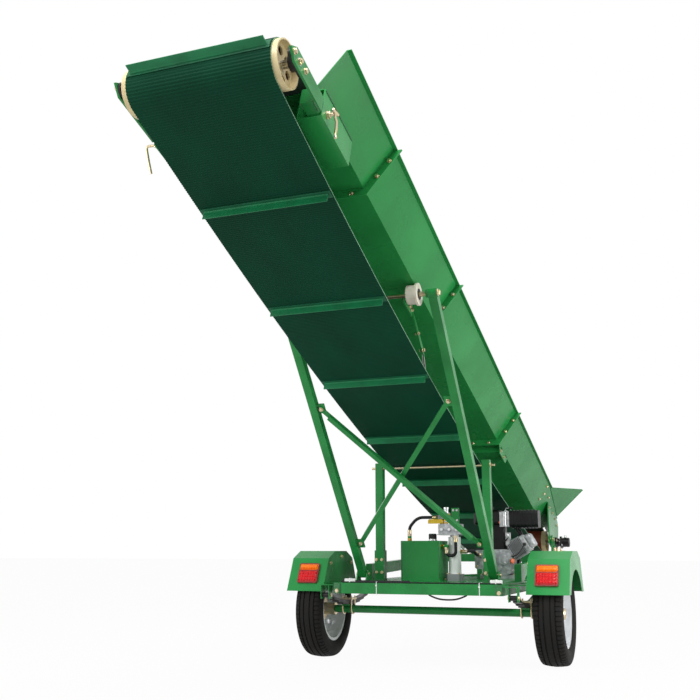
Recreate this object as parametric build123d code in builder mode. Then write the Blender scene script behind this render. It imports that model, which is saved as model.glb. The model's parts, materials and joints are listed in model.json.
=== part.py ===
from build123d import *
import os
from math import asin, atan, atan2, cos, degrees, hypot, pi, radians, sin, tan

# Towable firewood conveyor, millimetres: +X right, +Y forward to the coupler, +Z up.
# The origin lies on the ground midway between the belt's head and the coupler's tip.

# Boom: inclined trough with its belt
BOOM_TILT = 18.0
PIVOT_HEIGHT = 768.6
PIVOT_S = 2300
PIVOT_N = -150
PAN_HALF = 327
PAN_SHEET = 4
WALL_FLARE = 125
WALL_HEIGHT = 202
LIP_WIDTH = 20
TROUGH_END_S = -2790
TROUGH_JOINT_S = (-2170, -1030, 610)
PAN_FOOT_S = 2440
FLOOR_CUT = 12
WALL_FOOT_S = 2600
FLANGE_DEPTH = 40
FLANGE_FOOT = 30
FLANGE_CORNER = 18
FLANGE_THICKNESS = 5
CHANNEL_S = (720, 800)
CHANNEL_DEPTH = 45
EAR_S = (690, 950)
EAR_DEPTH = 58
EAR_SHEET = 6
HOPPER_S = 2030
HOPPER_FRONT_S = 2550
HOPPER_HALF = 638
HOPPER_RISE = 380
HOPPER_FOOT = 147
FRONT_WALL_LOW = 65
BELT_EDGE_GAP = 12
BELT_THICKNESS = 6
BELT_SAG = 150
CLEAT_COUNT = 16
CLEAT_HEIGHT = 36
CLEAT_WEB = 6
CLEAT_BASE = 30
CLEAT_BASE_THICKNESS = 5
DRUM_RADIUS = 97
DRUM_WALL = 6
DRUM_OVERHANG = 23
DRUM_DISC = 8
DRUM_DISC_INSET = 26
DRUM_DISC_HOLES = 6
DRUM_HOLE_RADIUS = 19
DRUM_HOLE_CIRCLE = 56
HEAD_S = -3030
TAIL_S = 2550
SHAFT_RADIUS = 17
RUNNING_GAP = 0.3

# Head take-up
TAKE_UP_OUTSET = 51
TUBE_WIDTH = 60
TUBE_HEIGHT = 76
TUBE_TIP = 170
TUBE_RADIUS = 8
HOUSING_WIDTH = 108
HOUSING_SHEET = 6
HOUSING_LENGTH = 310
HEAD_PLATE = 10
HEAD_PLATE_HALF = 37
HEAD_PLATE_TIP = 82
BEARING_LENGTH = 136
BEARING_WIDTH = 64
BEARING_FLANGE = 12
BEARING_BOSS_RADIUS = 34
BEARING_DEPTH = 28
LOCK_PLACE = 50
LOCK_NUT = 14
LOCK_BOLT = 7
LOCK_REACH = 34
LOCK_HANDLE = 6
LOCK_DROP = 104

# Foot of the boom and its pivot
BRACKET_OUTSET = 78
BRACKET_S = (2160, 2660)
BRACKET_CORNER = 60
BRACKET_BOSS = 52
PIVOT_PLATE = 10
PIVOT_PLATE_GAP = 6
PIVOT_PIN_RADIUS = 15
PIVOT_CROWN = 34
PIVOT_FOOT_HALF = 62
PIVOT_DROP = 118.6
PIN_END = 12
GUSSET = 48
SHAFT_END = 8
MOTOR_FLANGE = 86
MOTOR_FLANGE_DEPTH = 22
MOTOR_RADIUS = 40
MOTOR_LENGTH = 128
MOTOR_PORT = (46, 40, 46)

# Lifting legs
LEG_OUTSET = 98
FOOT_Y = -77
FOOT_Z = 532
LEG_LEAN = 40.0
LEG_TUBE = 46
LEG_PIN_RADIUS = 10
LEG_SLEEVE_RADIUS = 22
LEG_SLEEVE_LENGTH = 62
LEG_SLEEVE_SHIFT = -6
LUG_PLATE = 8
LUG_GAP = 5
LUG_FOOT_HALF = 40
LUG_CROWN = 22
PIN_HEAD = 8
BRACE_TUBE = 28
BRACE_PLACES = (250, 1247)
BRACE_TAB = 8
BRACE_TAB_LENGTH = 64
BRACE_BOLT_RADIUS = 7
BRACE_LUG_REACH = 44
BRACE_LUG_LENGTH = 62
BRACE_LUG = 8
ROLLER_RADIUS = 51
ROLLER_FLANGE_RADIUS = 60
ROLLER_GAP = 0.5
ROLLER_WIDTH = 49
ROLLER_FLANGE = 12
ROLLER_OUTSET = 11
ROLLER_ROD_RADIUS = 10
ROD_END = 14
SPACER_RADIUS = 13.5

# Lift cylinder under the pan
CYLINDER_N = -140
CYLINDER_RADIUS = 38
CYLINDER_S = (950, 1950)
CYLINDER_BRACKET_HALF = 70
CYLINDER_BRACKET = 14
CYLINDER_BRACKET_INSET = 60
CYLINDER_BOTTOM = 40
GLAND_RADIUS = 44
GLAND_LENGTH = 46
LIFT_ROD_RADIUS = 16
CROSSHEAD_S = 100
CROSSHEAD_RADIUS = 26
CROSSHEAD_LENGTH = 70
YOKE_X = 250
YOKE_TOP_S = (-1222, -1160)
YOKE_APEX_S = -905
YOKE_APEX_N = -150
YOKE_TOP_N = -14
YOKE_WEB = 11
YOKE_WINDOW_BACK = 66
YOKE_PLATE = 8
LINK_HALF = 13
LINK_CLEARANCE = 12
TIE_RADIUS = 7

# Frame tubes and deck
BEAM_SIZE = 64
BEAM_Y = -290
FRAME_TOP = 485
RAIL_WIDTH = 44
RAIL_OUTSET = 58
RAIL_BEND_Y = 1000
APEX_Y = 2700
APEX_HALF_WIDTH = 60
TONGUE_WIDTH = 76
TONGUE_REAR_Y = 900
TONGUE_REACH = 200
DECK_THICKNESS = 5
DECK_GAP = 20
DECK_FRONT_Y = 1150
ARM_REAR_Y = 250
ARM_REAR_RISE = 36
ARM_HEIGHT = 70
ARM_FOOT = 80

# Transport rest posts
POST_INSET = 122
POST_Y = 80
POST_TUBE = 50
POST_ABOVE_ROD = 33
SLEEVE_WALL = 6
SLEEVE_HEIGHT = 190
REST_GAP = 10
REST_ROD_RADIUS = 8
REST_ROD_END = 30

# Running gear
WHEEL_OUTSET = 229
AXLE_Y = 80
TYRE_RADIUS = 305
TYRE_WIDTH = 177
TREAD_CROWN = 8
SHOULDER_INSET = 16
RIM_RADIUS = 190
RIM_WIDTH = 140
RIM_WALL = 6
RIM_LIP = 12
DISC_PLACE = 22
DISC_DISH_RADIUS = 132
DISC_SEAT_RADIUS = 92
HAND_HOLE_CIRCLE = 155
HAND_HOLE_RADIUS = 15
HUB_RADIUS = 38
HUB_FLANGE_RADIUS = 72
HUB_FLANGE = 12
HUB_LENGTH = 96
HUB_CAP = 42
HUB_CAP_TAPER = (8, 4, 12)
HUB_CAP_WALL = 6
LUG_CIRCLE_RADIUS = 57
LUG_COUNT = 5
LUG_BORE = 13
SPINDLE_RADIUS = 20
SPINDLE_END = 30
AXLE_RADIUS = 24
AXLE_END_GAP = 4
SPRING_PAD = (51, 96, 12)
SPRING_PAD_SINK = 4

# Springs
SPRING_OUTSET = 59
SPRING_WIDTH = 45
SPRING_HALF = 380
SPRING_LEAF = 7
SPRING_LEAVES = 4
SPRING_STEP = 0.2
SPRING_ARCH = 48
SPRING_EYE_RADIUS = 15
HANGER_PLATE = 4
HANGER_GAP = 1.5
HANGER_LENGTH = 56
HANGER_DROP = 12
HANGER_BELOW_EYE = 8
HEX_CORNERS = 6
HANGER_BOLT_RADIUS = 6
BOLT_HEAD_RADIUS = 11.4
BOLT_HEAD = 8
U_BOLT_RADIUS = 5
U_BOLT_GAP = 3.5
U_BOLT_END = 24
CLAMP_PLATE = (79, 84, 10)
CLAMP_GAP = 0.9

# Fenders and lamps
FENDER_OUTSET = 115
FENDER_WIDTH = 250
FENDER_SHEET = 3
FENDER_ARCH_RADIUS = 262
FENDER_LOW_Z = 427
FENDER_FOLDS = ((307, 427), (211, 630), (100, 676))
STRAP_PLACE = 190
STRAP_WIDTH = 44
STRAP_SHEET = 6
STRAP_DROP = 6
STRAP_TURN = 46
LAMP_WIDTH = 137
LAMP_HEIGHT = 132
LAMP_DEPTH = 26
LAMP_CORNER = 16
LAMP_OUT = 118
LAMP_UP = 118

# Coupler and jack
COUPLER_REACH = 143
COUPLER_RADIUS = 38
COUPLER_INSET = 4
COUPLER_ROUND = 10
BALL_RADIUS = 25.4
BALL_DEPTH = 14
JACK_Y = 1500
JACK_OUTSET = 172
JACK_BRACKET = 90
JACK_TUBE_RADIUS = 28
JACK_LEG_RADIUS = 22
JACK_TOP = 700
JACK_CAP = 8
JACK_BOTTOM = 330
JACK_FOOT_RADIUS = 80
JACK_FOOT_THICKNESS = 8
JACK_LEG_INSIDE = 100

# Hydraulics
TANK_X = (-214, 50)
TANK_Y = (50, 250)
TANK_HEIGHT = 250
TANK_ROUND = 8
TANK_FOOT = (36, 60, 6)
BREATHER = (24, 44)
BREATHER_PLACE = (-22, 140)
ELBOW_PLACE = (-173, 120)
FITTING_RADIUS = 14
FITTING_LENGTH = 40
SIDE_PORT_PLACE = (90, 704)
SIDE_PORT_LENGTH = 46
PORT_NECK_RADIUS = 12
PORT_NECK = 14
HOSE_RADIUS = 10
HOSE_BEND_SHARE = 0.45
HOSE_RISE = 48
HOSE_SWEEP = 56
LOOP_LEAD = 26
LOOP_CORNER = (17, 18)
PUMP_HOSE_LEAD = 26
PUMP_HOSE_BEND = (22, 26, 7)
PUMP_HOSE_RUN = 68
PUMP_HOSE_END = 76
FILTER_X = 121
FILTER_Y = 150
FILTER_RADIUS = 40
FILTER_BASE = (100, 110, 42)
FILTER_TOP = 764
FILTER_NECK = 12
FILTER_PORT_Z = 672
SHELF = (132, 150, 6)
SHELF_X = 92
VALVE_BLOCK = (150, 76, 64)
VALVE_X = 30
VALVE_BODY = (27, 74)
VALVE_BODY_X = 70
VALVE_KNOB = (15, 34)
VALVE_PLATE = (50, 8, 104)
VALVE_PLATE_X = 130
VALVE_PORT_Z = 890
PUMP_SIZE = (84, 124)
PUMP_ROUND = 14
PUMP_LENGTH = 110
PUMP_SHIFT = -60
PUMP_PORT_Z = 650
BELL_RADIUS = 60
BELL_LENGTH = 100

# Engine
ENGINE_X = 280
ENGINE_Y = 760
CRANK_RISE = 130
CASE_SIZE = (200, 200, 196)
CASE_ROUND = 36
CASE_FOOT = (240, 190, 24)
CASE_COVER_RADIUS = 74
CASE_COVER = 10
BORE_TILT = 30.0
BORE_START = 90
BORE_LENGTH = 140
BORE_RADIUS = 46
FIN_COUNT = 9
FIN_START = 16
FIN_PITCH = 11
FIN_THICKNESS = 3.5
FIN_SIZE = (132, 128)
FIN_ROUND = 18
HEAD_BLOCK = (116, 116, 26)
COVER_SIZE = (104, 96)
COVER_ROUND = 24
COVER_FLANGE = 5
COVER_FLANGE_SIZE = (118, 110)
COVER_DEPTH = 44
COVER_EDGE = 14
FUEL_TANK = (200, 180, 106)
FUEL_TANK_PLACE = (210, 800, 905)
FUEL_TANK_ROUND = 24
FUEL_CAP = (30, 24)
SHROUD = (110, 90)
SHROUD_PLACE = (272, 780)
MUFFLER = (200, 116, 118)
MUFFLER_PLACE = (468, 750, 892)
MUFFLER_ROUND = 26
MUFFLER_RIBS = 7
MUFFLER_RIB = 8
MUFFLER_RIB_HEIGHT = 4
PIPE_RADIUS = 15
PIPE_REACH = 80
FAN_RADIUS = 118
FAN_DEPTH = 62
FAN_STEP_RADIUS = 82
FAN_STEP = 30
FAN_SLOTS = 14
FAN_SLOT = (8, 42)
FAN_SLOT_CIRCLE = 52

os.makedirs("parts", exist_ok=True)

# Derived values
tilt = radians(BOOM_TILT)
lean = radians(LEG_LEAN)
down_boom = Vector(0, cos(tilt), -sin(tilt))
off_boom = Vector(0, sin(tilt), cos(tilt))
boom_height = PIVOT_HEIGHT + PIVOT_S * sin(tilt) - PIVOT_N * cos(tilt)
boom_origin = Vector(0, 0, boom_height)
deck_top = FRAME_TOP + DECK_THICKNESS
frame_low = FRAME_TOP - BEAM_SIZE
belt_half = PAN_HALF - BELT_EDGE_GAP
leg_x = PAN_HALF + LEG_OUTSET
rail_inner = leg_x + RAIL_OUTSET
rail_outer = rail_inner + RAIL_WIDTH
spring_x = rail_outer + SPRING_OUTSET
fender_inner = rail_outer + FENDER_OUTSET
wheel_place = rail_outer + WHEEL_OUTSET
foot_n = FOOT_Y * sin(tilt) + (FOOT_Z - boom_height) * cos(tilt)
leg_length = (-ROLLER_RADIUS - ROLLER_GAP - foot_n) / cos(lean + tilt)
SIDES = (("left", -1), ("right", 1))


def boom_point(x, s, n):
    """Point at x, s millimetres down the boom and n above the pan's underside."""
    return boom_origin + Vector(x, 0, 0) + down_boom * s + off_boom * n


def across_boom(s):
    """Plane square to the boom at s: x to the right, y away from the pan, normal up the boom."""
    return Plane(origin=boom_point(0, s, 0), x_dir=(1, 0, 0), z_dir=-down_boom)


def along_boom(x):
    """Side plane of the boom at x: x down the boom, y away from the pan, normal to the right."""
    return Plane(origin=boom_point(x, 0, 0), x_dir=down_boom, z_dir=(1, 0, 0))


def side_plane(x, y=0):
    """Side plane of the machine at x: x forward of y, y up, normal to the right."""
    return Plane(origin=(x, y, 0), x_dir=(0, 1, 0), z_dir=(1, 0, 0))


def leg_plane(offset=0):
    """Plane of the lifting legs: x to the right, y up the legs, normal to the rear."""
    legs = Plane(origin=(0, FOOT_Y, FOOT_Z), x_dir=(1, 0, 0), z_dir=(0, -cos(lean), -sin(lean)))
    return legs.offset(offset)


def export(piece, name):
    """Label the finished piece and write its file."""
    piece.part.label = name
    export_step(piece.part, "parts/" + name + ".step")


# Wheels: tyre, pressed steel rim and hub, all turning about the axle line
tread_edge = TYRE_RADIUS - TREAD_CROWN
shoulder = TYRE_WIDTH / 2 - SHOULDER_INSET
bulge_radius = (RIM_RADIUS + TYRE_RADIUS) / 2
seat = RIM_RADIUS + RUNNING_GAP
lip_top = seat + RIM_LIP
bead = RIM_WIDTH / 2 - RIM_WALL - RUNNING_GAP
rim_edge = RIM_WIDTH / 2
rim_inner = RIM_RADIUS - RIM_WALL
disc_back = DISC_PLACE - RIM_WALL
disc_front = DISC_PLACE + RIM_WALL
bore = SPINDLE_RADIUS + RUNNING_GAP
cap_tip = DISC_PLACE + HUB_CAP
wheel_axis = Axis((0, AXLE_Y, TYRE_RADIUS), (1, 0, 0))
for side_name, side in SIDES:
    wheel_x = side * wheel_place
    wheel_plane = Plane(origin=(wheel_x, AXLE_Y, TYRE_RADIUS), x_dir=(side, 0, 0), z_dir=(0, -side, 0))

    with BuildPart() as tyre:
        with BuildSketch(wheel_plane):
            with BuildLine():
                ThreePointArc((-bead, lip_top), (-TYRE_WIDTH / 2, bulge_radius), (-shoulder, tread_edge))
                ThreePointArc((-shoulder, tread_edge), (0, TYRE_RADIUS), (shoulder, tread_edge))
                ThreePointArc((shoulder, tread_edge), (TYRE_WIDTH / 2, bulge_radius), (bead, lip_top))
                Polyline((bead, lip_top), (bead, seat), (-bead, seat), (-bead, lip_top))
            make_face()
        revolve(axis=wheel_axis)
    export(tyre, "tyre_" + side_name)

    with BuildPart() as rim:
        with BuildSketch(wheel_plane):
            with BuildLine():
                Polyline((-rim_edge, rim_inner), (-rim_edge, RIM_RADIUS + RIM_LIP),
                         (-rim_edge + RIM_WALL, RIM_RADIUS + RIM_LIP), (-rim_edge + RIM_WALL, RIM_RADIUS),
                         (rim_edge - RIM_WALL, RIM_RADIUS), (rim_edge - RIM_WALL, RIM_RADIUS + RIM_LIP),
                         (rim_edge, RIM_RADIUS + RIM_LIP), (rim_edge, rim_inner), (disc_front, rim_inner),
                         (disc_front + RIM_WALL, DISC_DISH_RADIUS), (DISC_PLACE, DISC_SEAT_RADIUS),
                         (DISC_PLACE, HUB_RADIUS + RUNNING_GAP), (disc_back, HUB_RADIUS + RUNNING_GAP),
                         (disc_back, DISC_SEAT_RADIUS + RIM_WALL), (disc_front, DISC_DISH_RADIUS),
                         (DISC_PLACE, rim_inner), close=True)
            make_face()
        revolve(axis=wheel_axis)
        hole_plane = Plane(origin=(wheel_x, AXLE_Y, TYRE_RADIUS), x_dir=(0, 1, 0), z_dir=(side, 0, 0))
        with BuildSketch(hole_plane.offset(DISC_PLACE - RIM_WIDTH)):
            with PolarLocations(HAND_HOLE_CIRCLE, LUG_COUNT * 2):
                Circle(HAND_HOLE_RADIUS)
            with PolarLocations(LUG_CIRCLE_RADIUS, LUG_COUNT):
                Circle(LUG_BORE / 2)
        extrude(amount=2 * RIM_WIDTH, mode=Mode.SUBTRACT)
    export(rim, "rim_" + side_name)

    with BuildPart() as hub:
        with BuildSketch(wheel_plane):
            with BuildLine():
                taper_length, taper_start, taper_end = HUB_CAP_TAPER
                Polyline((disc_back - HUB_LENGTH, bore), (disc_back - HUB_LENGTH, HUB_RADIUS),
                         (disc_back - HUB_FLANGE, HUB_RADIUS), (disc_back - HUB_FLANGE, HUB_FLANGE_RADIUS),
                         (disc_back, HUB_FLANGE_RADIUS), (disc_back, HUB_RADIUS),
                         (cap_tip - taper_length, HUB_RADIUS - taper_start),
                         (cap_tip, HUB_RADIUS - taper_end),
                         (cap_tip, 0), (cap_tip - HUB_CAP_WALL, 0), (cap_tip - HUB_CAP_WALL, bore),
                         close=True)
            make_face()
        revolve(axis=wheel_axis)
    export(hub, "hub_" + side_name)

# Axle: tube with spindles and spring pads
spindle_tip = wheel_place + DISC_PLACE + SPINDLE_END
tube_half = wheel_place + disc_back - HUB_LENGTH - AXLE_END_GAP
pad_width, pad_length, pad_height = SPRING_PAD
pad_top = TYRE_RADIUS + AXLE_RADIUS + pad_height - SPRING_PAD_SINK
with BuildPart() as axle:
    for half, radius in ((tube_half, AXLE_RADIUS), (spindle_tip, SPINDLE_RADIUS)):
        with BuildSketch(Plane.YZ):
            with Locations((AXLE_Y, TYRE_RADIUS)):
                Circle(radius)
        extrude(amount=half, both=True)
    with Locations(*[(side * spring_x, AXLE_Y, pad_top - pad_height / 2) for _, side in SIDES]):
        Box(pad_width, pad_length, pad_height)
export(axle, "axle")

# Leaf springs: stacked leaves, each shorter than the one above, lying on the axle pads
stack_top = pad_top + SPRING_LEAVES * SPRING_LEAF
eye_z = stack_top + SPRING_ARCH - SPRING_LEAF / 2
eyes = [(end * SPRING_HALF, eye_z) for end in (-1, 1)]
with BuildPart() as springs:
    for _, side in SIDES:
        spring_plane = side_plane(side * spring_x - SPRING_WIDTH / 2, AXLE_Y)
        for leaf in range(SPRING_LEAVES):
            low = stack_top - (leaf + 1) * SPRING_LEAF
            reach = SPRING_HALF * (1 - SPRING_STEP * leaf)
            rise = SPRING_ARCH * (reach / SPRING_HALF) ** 2
            with BuildSketch(spring_plane):
                with BuildLine():
                    ThreePointArc((-reach, low + rise), (0, low), (reach, low + rise))
                    Line((reach, low + rise), (reach, low + rise + SPRING_LEAF))
                    ThreePointArc((reach, low + rise + SPRING_LEAF), (0, low + SPRING_LEAF),
                                  (-reach, low + rise + SPRING_LEAF))
                    Line((-reach, low + rise + SPRING_LEAF), (-reach, low + rise))
                make_face()
            extrude(amount=SPRING_WIDTH)
        with BuildSketch(spring_plane):
            with Locations(*eyes):
                Circle(SPRING_EYE_RADIUS)
        extrude(amount=SPRING_WIDTH)
        with BuildSketch(spring_plane):
            with Locations(*eyes):
                Circle(HANGER_BOLT_RADIUS + RUNNING_GAP)
        extrude(amount=SPRING_WIDTH, mode=Mode.SUBTRACT)
export(springs, "leaf_springs")

# Spring hangers: folded brackets on the rails' outer sides, one at each end of each spring
hanger_half = SPRING_WIDTH / 2 + HANGER_GAP + HANGER_PLATE
hanger_near = spring_x - hanger_half
hanger_far = spring_x + hanger_half
hanger_top = FRAME_TOP - HANGER_DROP
hanger_low = eye_z - SPRING_EYE_RADIUS - HANGER_BELOW_EYE
with BuildPart() as hangers:
    for _, side in SIDES:
        for end in (-1, 1):
            hanger_y = AXLE_Y + end * SPRING_HALF
            with BuildSketch(Plane.XZ.offset(-hanger_y - HANGER_LENGTH / 2)):
                with BuildLine():
                    under = hanger_top - HANGER_PLATE
                    Polyline((side * rail_outer, under), (side * rail_outer, hanger_top),
                             (side * hanger_far, hanger_top), (side * hanger_far, hanger_low),
                             (side * (hanger_far - HANGER_PLATE), hanger_low),
                             (side * (hanger_far - HANGER_PLATE), under),
                             (side * (hanger_near + HANGER_PLATE), under),
                             (side * (hanger_near + HANGER_PLATE), hanger_low),
                             (side * hanger_near, hanger_low), (side * hanger_near, under), close=True)
                make_face()
            extrude(amount=HANGER_LENGTH)
    with BuildSketch(side_plane(0, AXLE_Y)):
        with Locations(*eyes):
            Circle(HANGER_BOLT_RADIUS + RUNNING_GAP)
    extrude(amount=hanger_far + BOLT_HEAD, both=True, mode=Mode.SUBTRACT)
export(hangers, "spring_hangers")

# Zinc spring fasteners: hanger bolts and the U-bolts round the axle
clamp_width, clamp_length, clamp_height = CLAMP_PLATE
grip = AXLE_RADIUS + U_BOLT_RADIUS + RUNNING_GAP
u_bolt_top = stack_top + U_BOLT_END
with BuildPart() as fasteners:
    for _, side in SIDES:
        # Each bolt part: where it starts, its radius, whether it is a hexagon, its length outwards
        bolt_parts = ((hanger_near, HANGER_BOLT_RADIUS, False, hanger_far - hanger_near),
                      (hanger_far, BOLT_HEAD_RADIUS, True, BOLT_HEAD),
                      (hanger_near, BOLT_HEAD_RADIUS, True, -BOLT_HEAD))
        for start, radius, hexagon, length in bolt_parts:
            with BuildSketch(side_plane(side * start, AXLE_Y)):
                with Locations(*eyes):
                    if hexagon:
                        RegularPolygon(radius, HEX_CORNERS)
                    else:
                        Circle(radius)
            extrude(amount=side * length)
        for across in (-1, 1):
            bolt_x = side * spring_x + across * (SPRING_WIDTH / 2 + U_BOLT_RADIUS + U_BOLT_GAP)
            with BuildLine(side_plane(bolt_x, AXLE_Y)) as u_path:
                Line((-grip, u_bolt_top), (-grip, TYRE_RADIUS))
                ThreePointArc((-grip, TYRE_RADIUS), (0, TYRE_RADIUS - grip), (grip, TYRE_RADIUS))
                Line((grip, TYRE_RADIUS), (grip, u_bolt_top))
            with BuildSketch(Plane(origin=(bolt_x, AXLE_Y - grip, u_bolt_top), z_dir=(0, 0, -1))):
                Circle(U_BOLT_RADIUS)
            sweep(path=u_path.line)
        with Locations((side * spring_x, AXLE_Y, stack_top + clamp_height / 2 + CLAMP_GAP)):
            Box(clamp_width, clamp_length, clamp_height)
export(fasteners, "spring_fasteners")

# Frame: rear beam, bent rails, cross tubes, tongue, rising arms and the pivot beam, welded as one
pivot = boom_point(0, PIVOT_S, PIVOT_N)
beam_rear = BEAM_Y - BEAM_SIZE / 2
tongue_front = APEX_Y + TONGUE_REACH
pivot_beam_top = pivot.Z - PIVOT_DROP
arm_low = FRAME_TOP + ARM_REAR_RISE
arm_front = pivot.Y + BEAM_SIZE / 2
strut_share = (APEX_Y - pivot.Y) / (APEX_Y - RAIL_BEND_Y)
strut_x = APEX_HALF_WIDTH + (rail_outer - APEX_HALF_WIDTH) * strut_share - RAIL_WIDTH / 2
with BuildPart() as frame:
    with BuildSketch(Plane.XY.offset(frame_low)):
        with BuildLine():
            Polyline((rail_outer, beam_rear), (rail_outer, RAIL_BEND_Y), (APEX_HALF_WIDTH, APEX_Y),
                     (APEX_HALF_WIDTH - RAIL_WIDTH, APEX_Y), (rail_inner, RAIL_BEND_Y),
                     (rail_inner, beam_rear),
                     close=True)
        make_face()
        mirror(about=Plane.YZ)
        with Locations((0, BEAM_Y), (0, TONGUE_REAR_Y), (0, POST_Y)):
            Rectangle(2 * rail_inner + RAIL_WIDTH, BEAM_SIZE)
        with Locations((0, (TONGUE_REAR_Y + tongue_front) / 2)):
            Rectangle(TONGUE_WIDTH, tongue_front - TONGUE_REAR_Y)
    extrude(amount=BEAM_SIZE)
    for _, side in SIDES:
        with BuildSketch(side_plane(side * rail_inner)):
            with BuildLine():
                Polyline((ARM_REAR_Y, FRAME_TOP), (ARM_REAR_Y, arm_low + ARM_HEIGHT),
                         (arm_front, pivot_beam_top),
                         (arm_front, pivot_beam_top - ARM_HEIGHT), (ARM_REAR_Y + 2 * ARM_FOOT, arm_low),
                         (ARM_REAR_Y + ARM_FOOT, FRAME_TOP), close=True)
            make_face()
        extrude(amount=side * RAIL_WIDTH)
        with Locations((side * strut_x, pivot.Y, (FRAME_TOP + pivot_beam_top) / 2)):
            Box(RAIL_WIDTH, BEAM_SIZE, pivot_beam_top - FRAME_TOP)
    with Locations((0, pivot.Y, pivot_beam_top - BEAM_SIZE / 2)):
        Box(2 * rail_inner, BEAM_SIZE, BEAM_SIZE)
export(frame, "frame")

# Deck plate between the rails, carrying the power pack
deck_rear = BEAM_Y + BEAM_SIZE / 2 + DECK_GAP
with BuildPart() as deck:
    with BuildSketch(Plane.XY.offset(FRAME_TOP)):
        with Locations((0, (deck_rear + DECK_FRONT_Y) / 2)):
            Rectangle(2 * rail_inner, DECK_FRONT_Y - deck_rear)
    extrude(amount=DECK_THICKNESS)
export(deck, "deck")

# Fenders: folded sheet over each wheel, with an arch cut from the outer side
fender_outline = [(-y, z) for y, z in FENDER_FOLDS] + [(y, z) for y, z in reversed(FENDER_FOLDS)]
fender_half = FENDER_FOLDS[0][0]
for side_name, side in SIDES:
    with BuildPart() as fender:
        with BuildSketch(side_plane(side * fender_inner, AXLE_Y)):
            with BuildLine():
                Polyline(*fender_outline, close=True)
            make_face()
        extrude(amount=side * FENDER_WIDTH)
        inside = FENDER_WIDTH - 2 * FENDER_SHEET
        with BuildSketch(side_plane(side * (fender_inner + FENDER_SHEET), AXLE_Y)):
            with BuildLine():
                Polyline(*fender_outline, close=True)
            make_face()
            offset(amount=-FENDER_SHEET, mode=Mode.REPLACE)
            with Locations((0, FENDER_LOW_Z)):
                Rectangle(2 * (fender_half - 2 * FENDER_SHEET), 4 * FENDER_SHEET)
        extrude(amount=side * inside, mode=Mode.SUBTRACT)
        with BuildSketch(side_plane(side * (fender_inner + FENDER_WIDTH / 2), AXLE_Y)):
            with Locations((0, TYRE_RADIUS)):
                Circle(FENDER_ARCH_RADIUS)
        extrude(amount=side * FENDER_WIDTH, mode=Mode.SUBTRACT)
    export(fender, "fender_" + side_name)

# Fender brackets: folded straps from the rails to the fenders' inner sides
strap_top = FRAME_TOP - STRAP_DROP
with BuildPart() as fender_brackets:
    for _, side in SIDES:
        for strap_y in (AXLE_Y - STRAP_PLACE, AXLE_Y + STRAP_PLACE):
            with BuildSketch(Plane.XZ.offset(-strap_y - STRAP_WIDTH / 2)):
                with BuildLine():
                    turn_x = fender_inner - STRAP_SHEET
                    Polyline((side * rail_outer, strap_top), (side * fender_inner, strap_top),
                             (side * fender_inner, strap_top - STRAP_TURN),
                             (side * turn_x, strap_top - STRAP_TURN),
                             (side * turn_x, strap_top - STRAP_SHEET),
                             (side * rail_outer, strap_top - STRAP_SHEET), close=True)
                make_face()
            extrude(amount=STRAP_WIDTH)
export(fender_brackets, "fender_brackets")

# Tail lamps on the fenders' sloped rear faces
low_y, low_z = fender_outline[0]
high_y, high_z = fender_outline[1]
face_length = hypot(high_y - low_y, high_z - low_z)
face_out = Vector(0, -(high_z - low_z) / face_length, (high_y - low_y) / face_length)
face_up = Vector(0, (high_y - low_y) / face_length, (high_z - low_z) / face_length)
with BuildPart() as lamps:
    for _, side in SIDES:
        lamp_x = side * (fender_inner + LAMP_OUT)
        lamp_middle = Vector(lamp_x, AXLE_Y + low_y, low_z) + face_up * LAMP_UP
        with BuildSketch(Plane(origin=lamp_middle, x_dir=(1, 0, 0), z_dir=face_out)):
            RectangleRounded(LAMP_WIDTH, LAMP_HEIGHT, LAMP_CORNER)
        extrude(amount=LAMP_DEPTH)
export(lamps, "tail_lamps")

# Trough: four bolted lengths of flared channel with flanges where they meet
lip_x = PAN_HALF + WALL_FLARE
lip_low = WALL_HEIGHT - PAN_SHEET
flare = WALL_FLARE / lip_low
wall_across = PAN_SHEET * hypot(1, flare)
cut_fall = (lip_low - HOPPER_FOOT) / (HOPPER_FRONT_S - HOPPER_S)
wall_foot_n = lip_low - cut_fall * (WALL_FOOT_S - HOPPER_S)


def wall_x(n):
    """Outer face of the right wall at height n."""
    return PAN_HALF + flare * n


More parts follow.
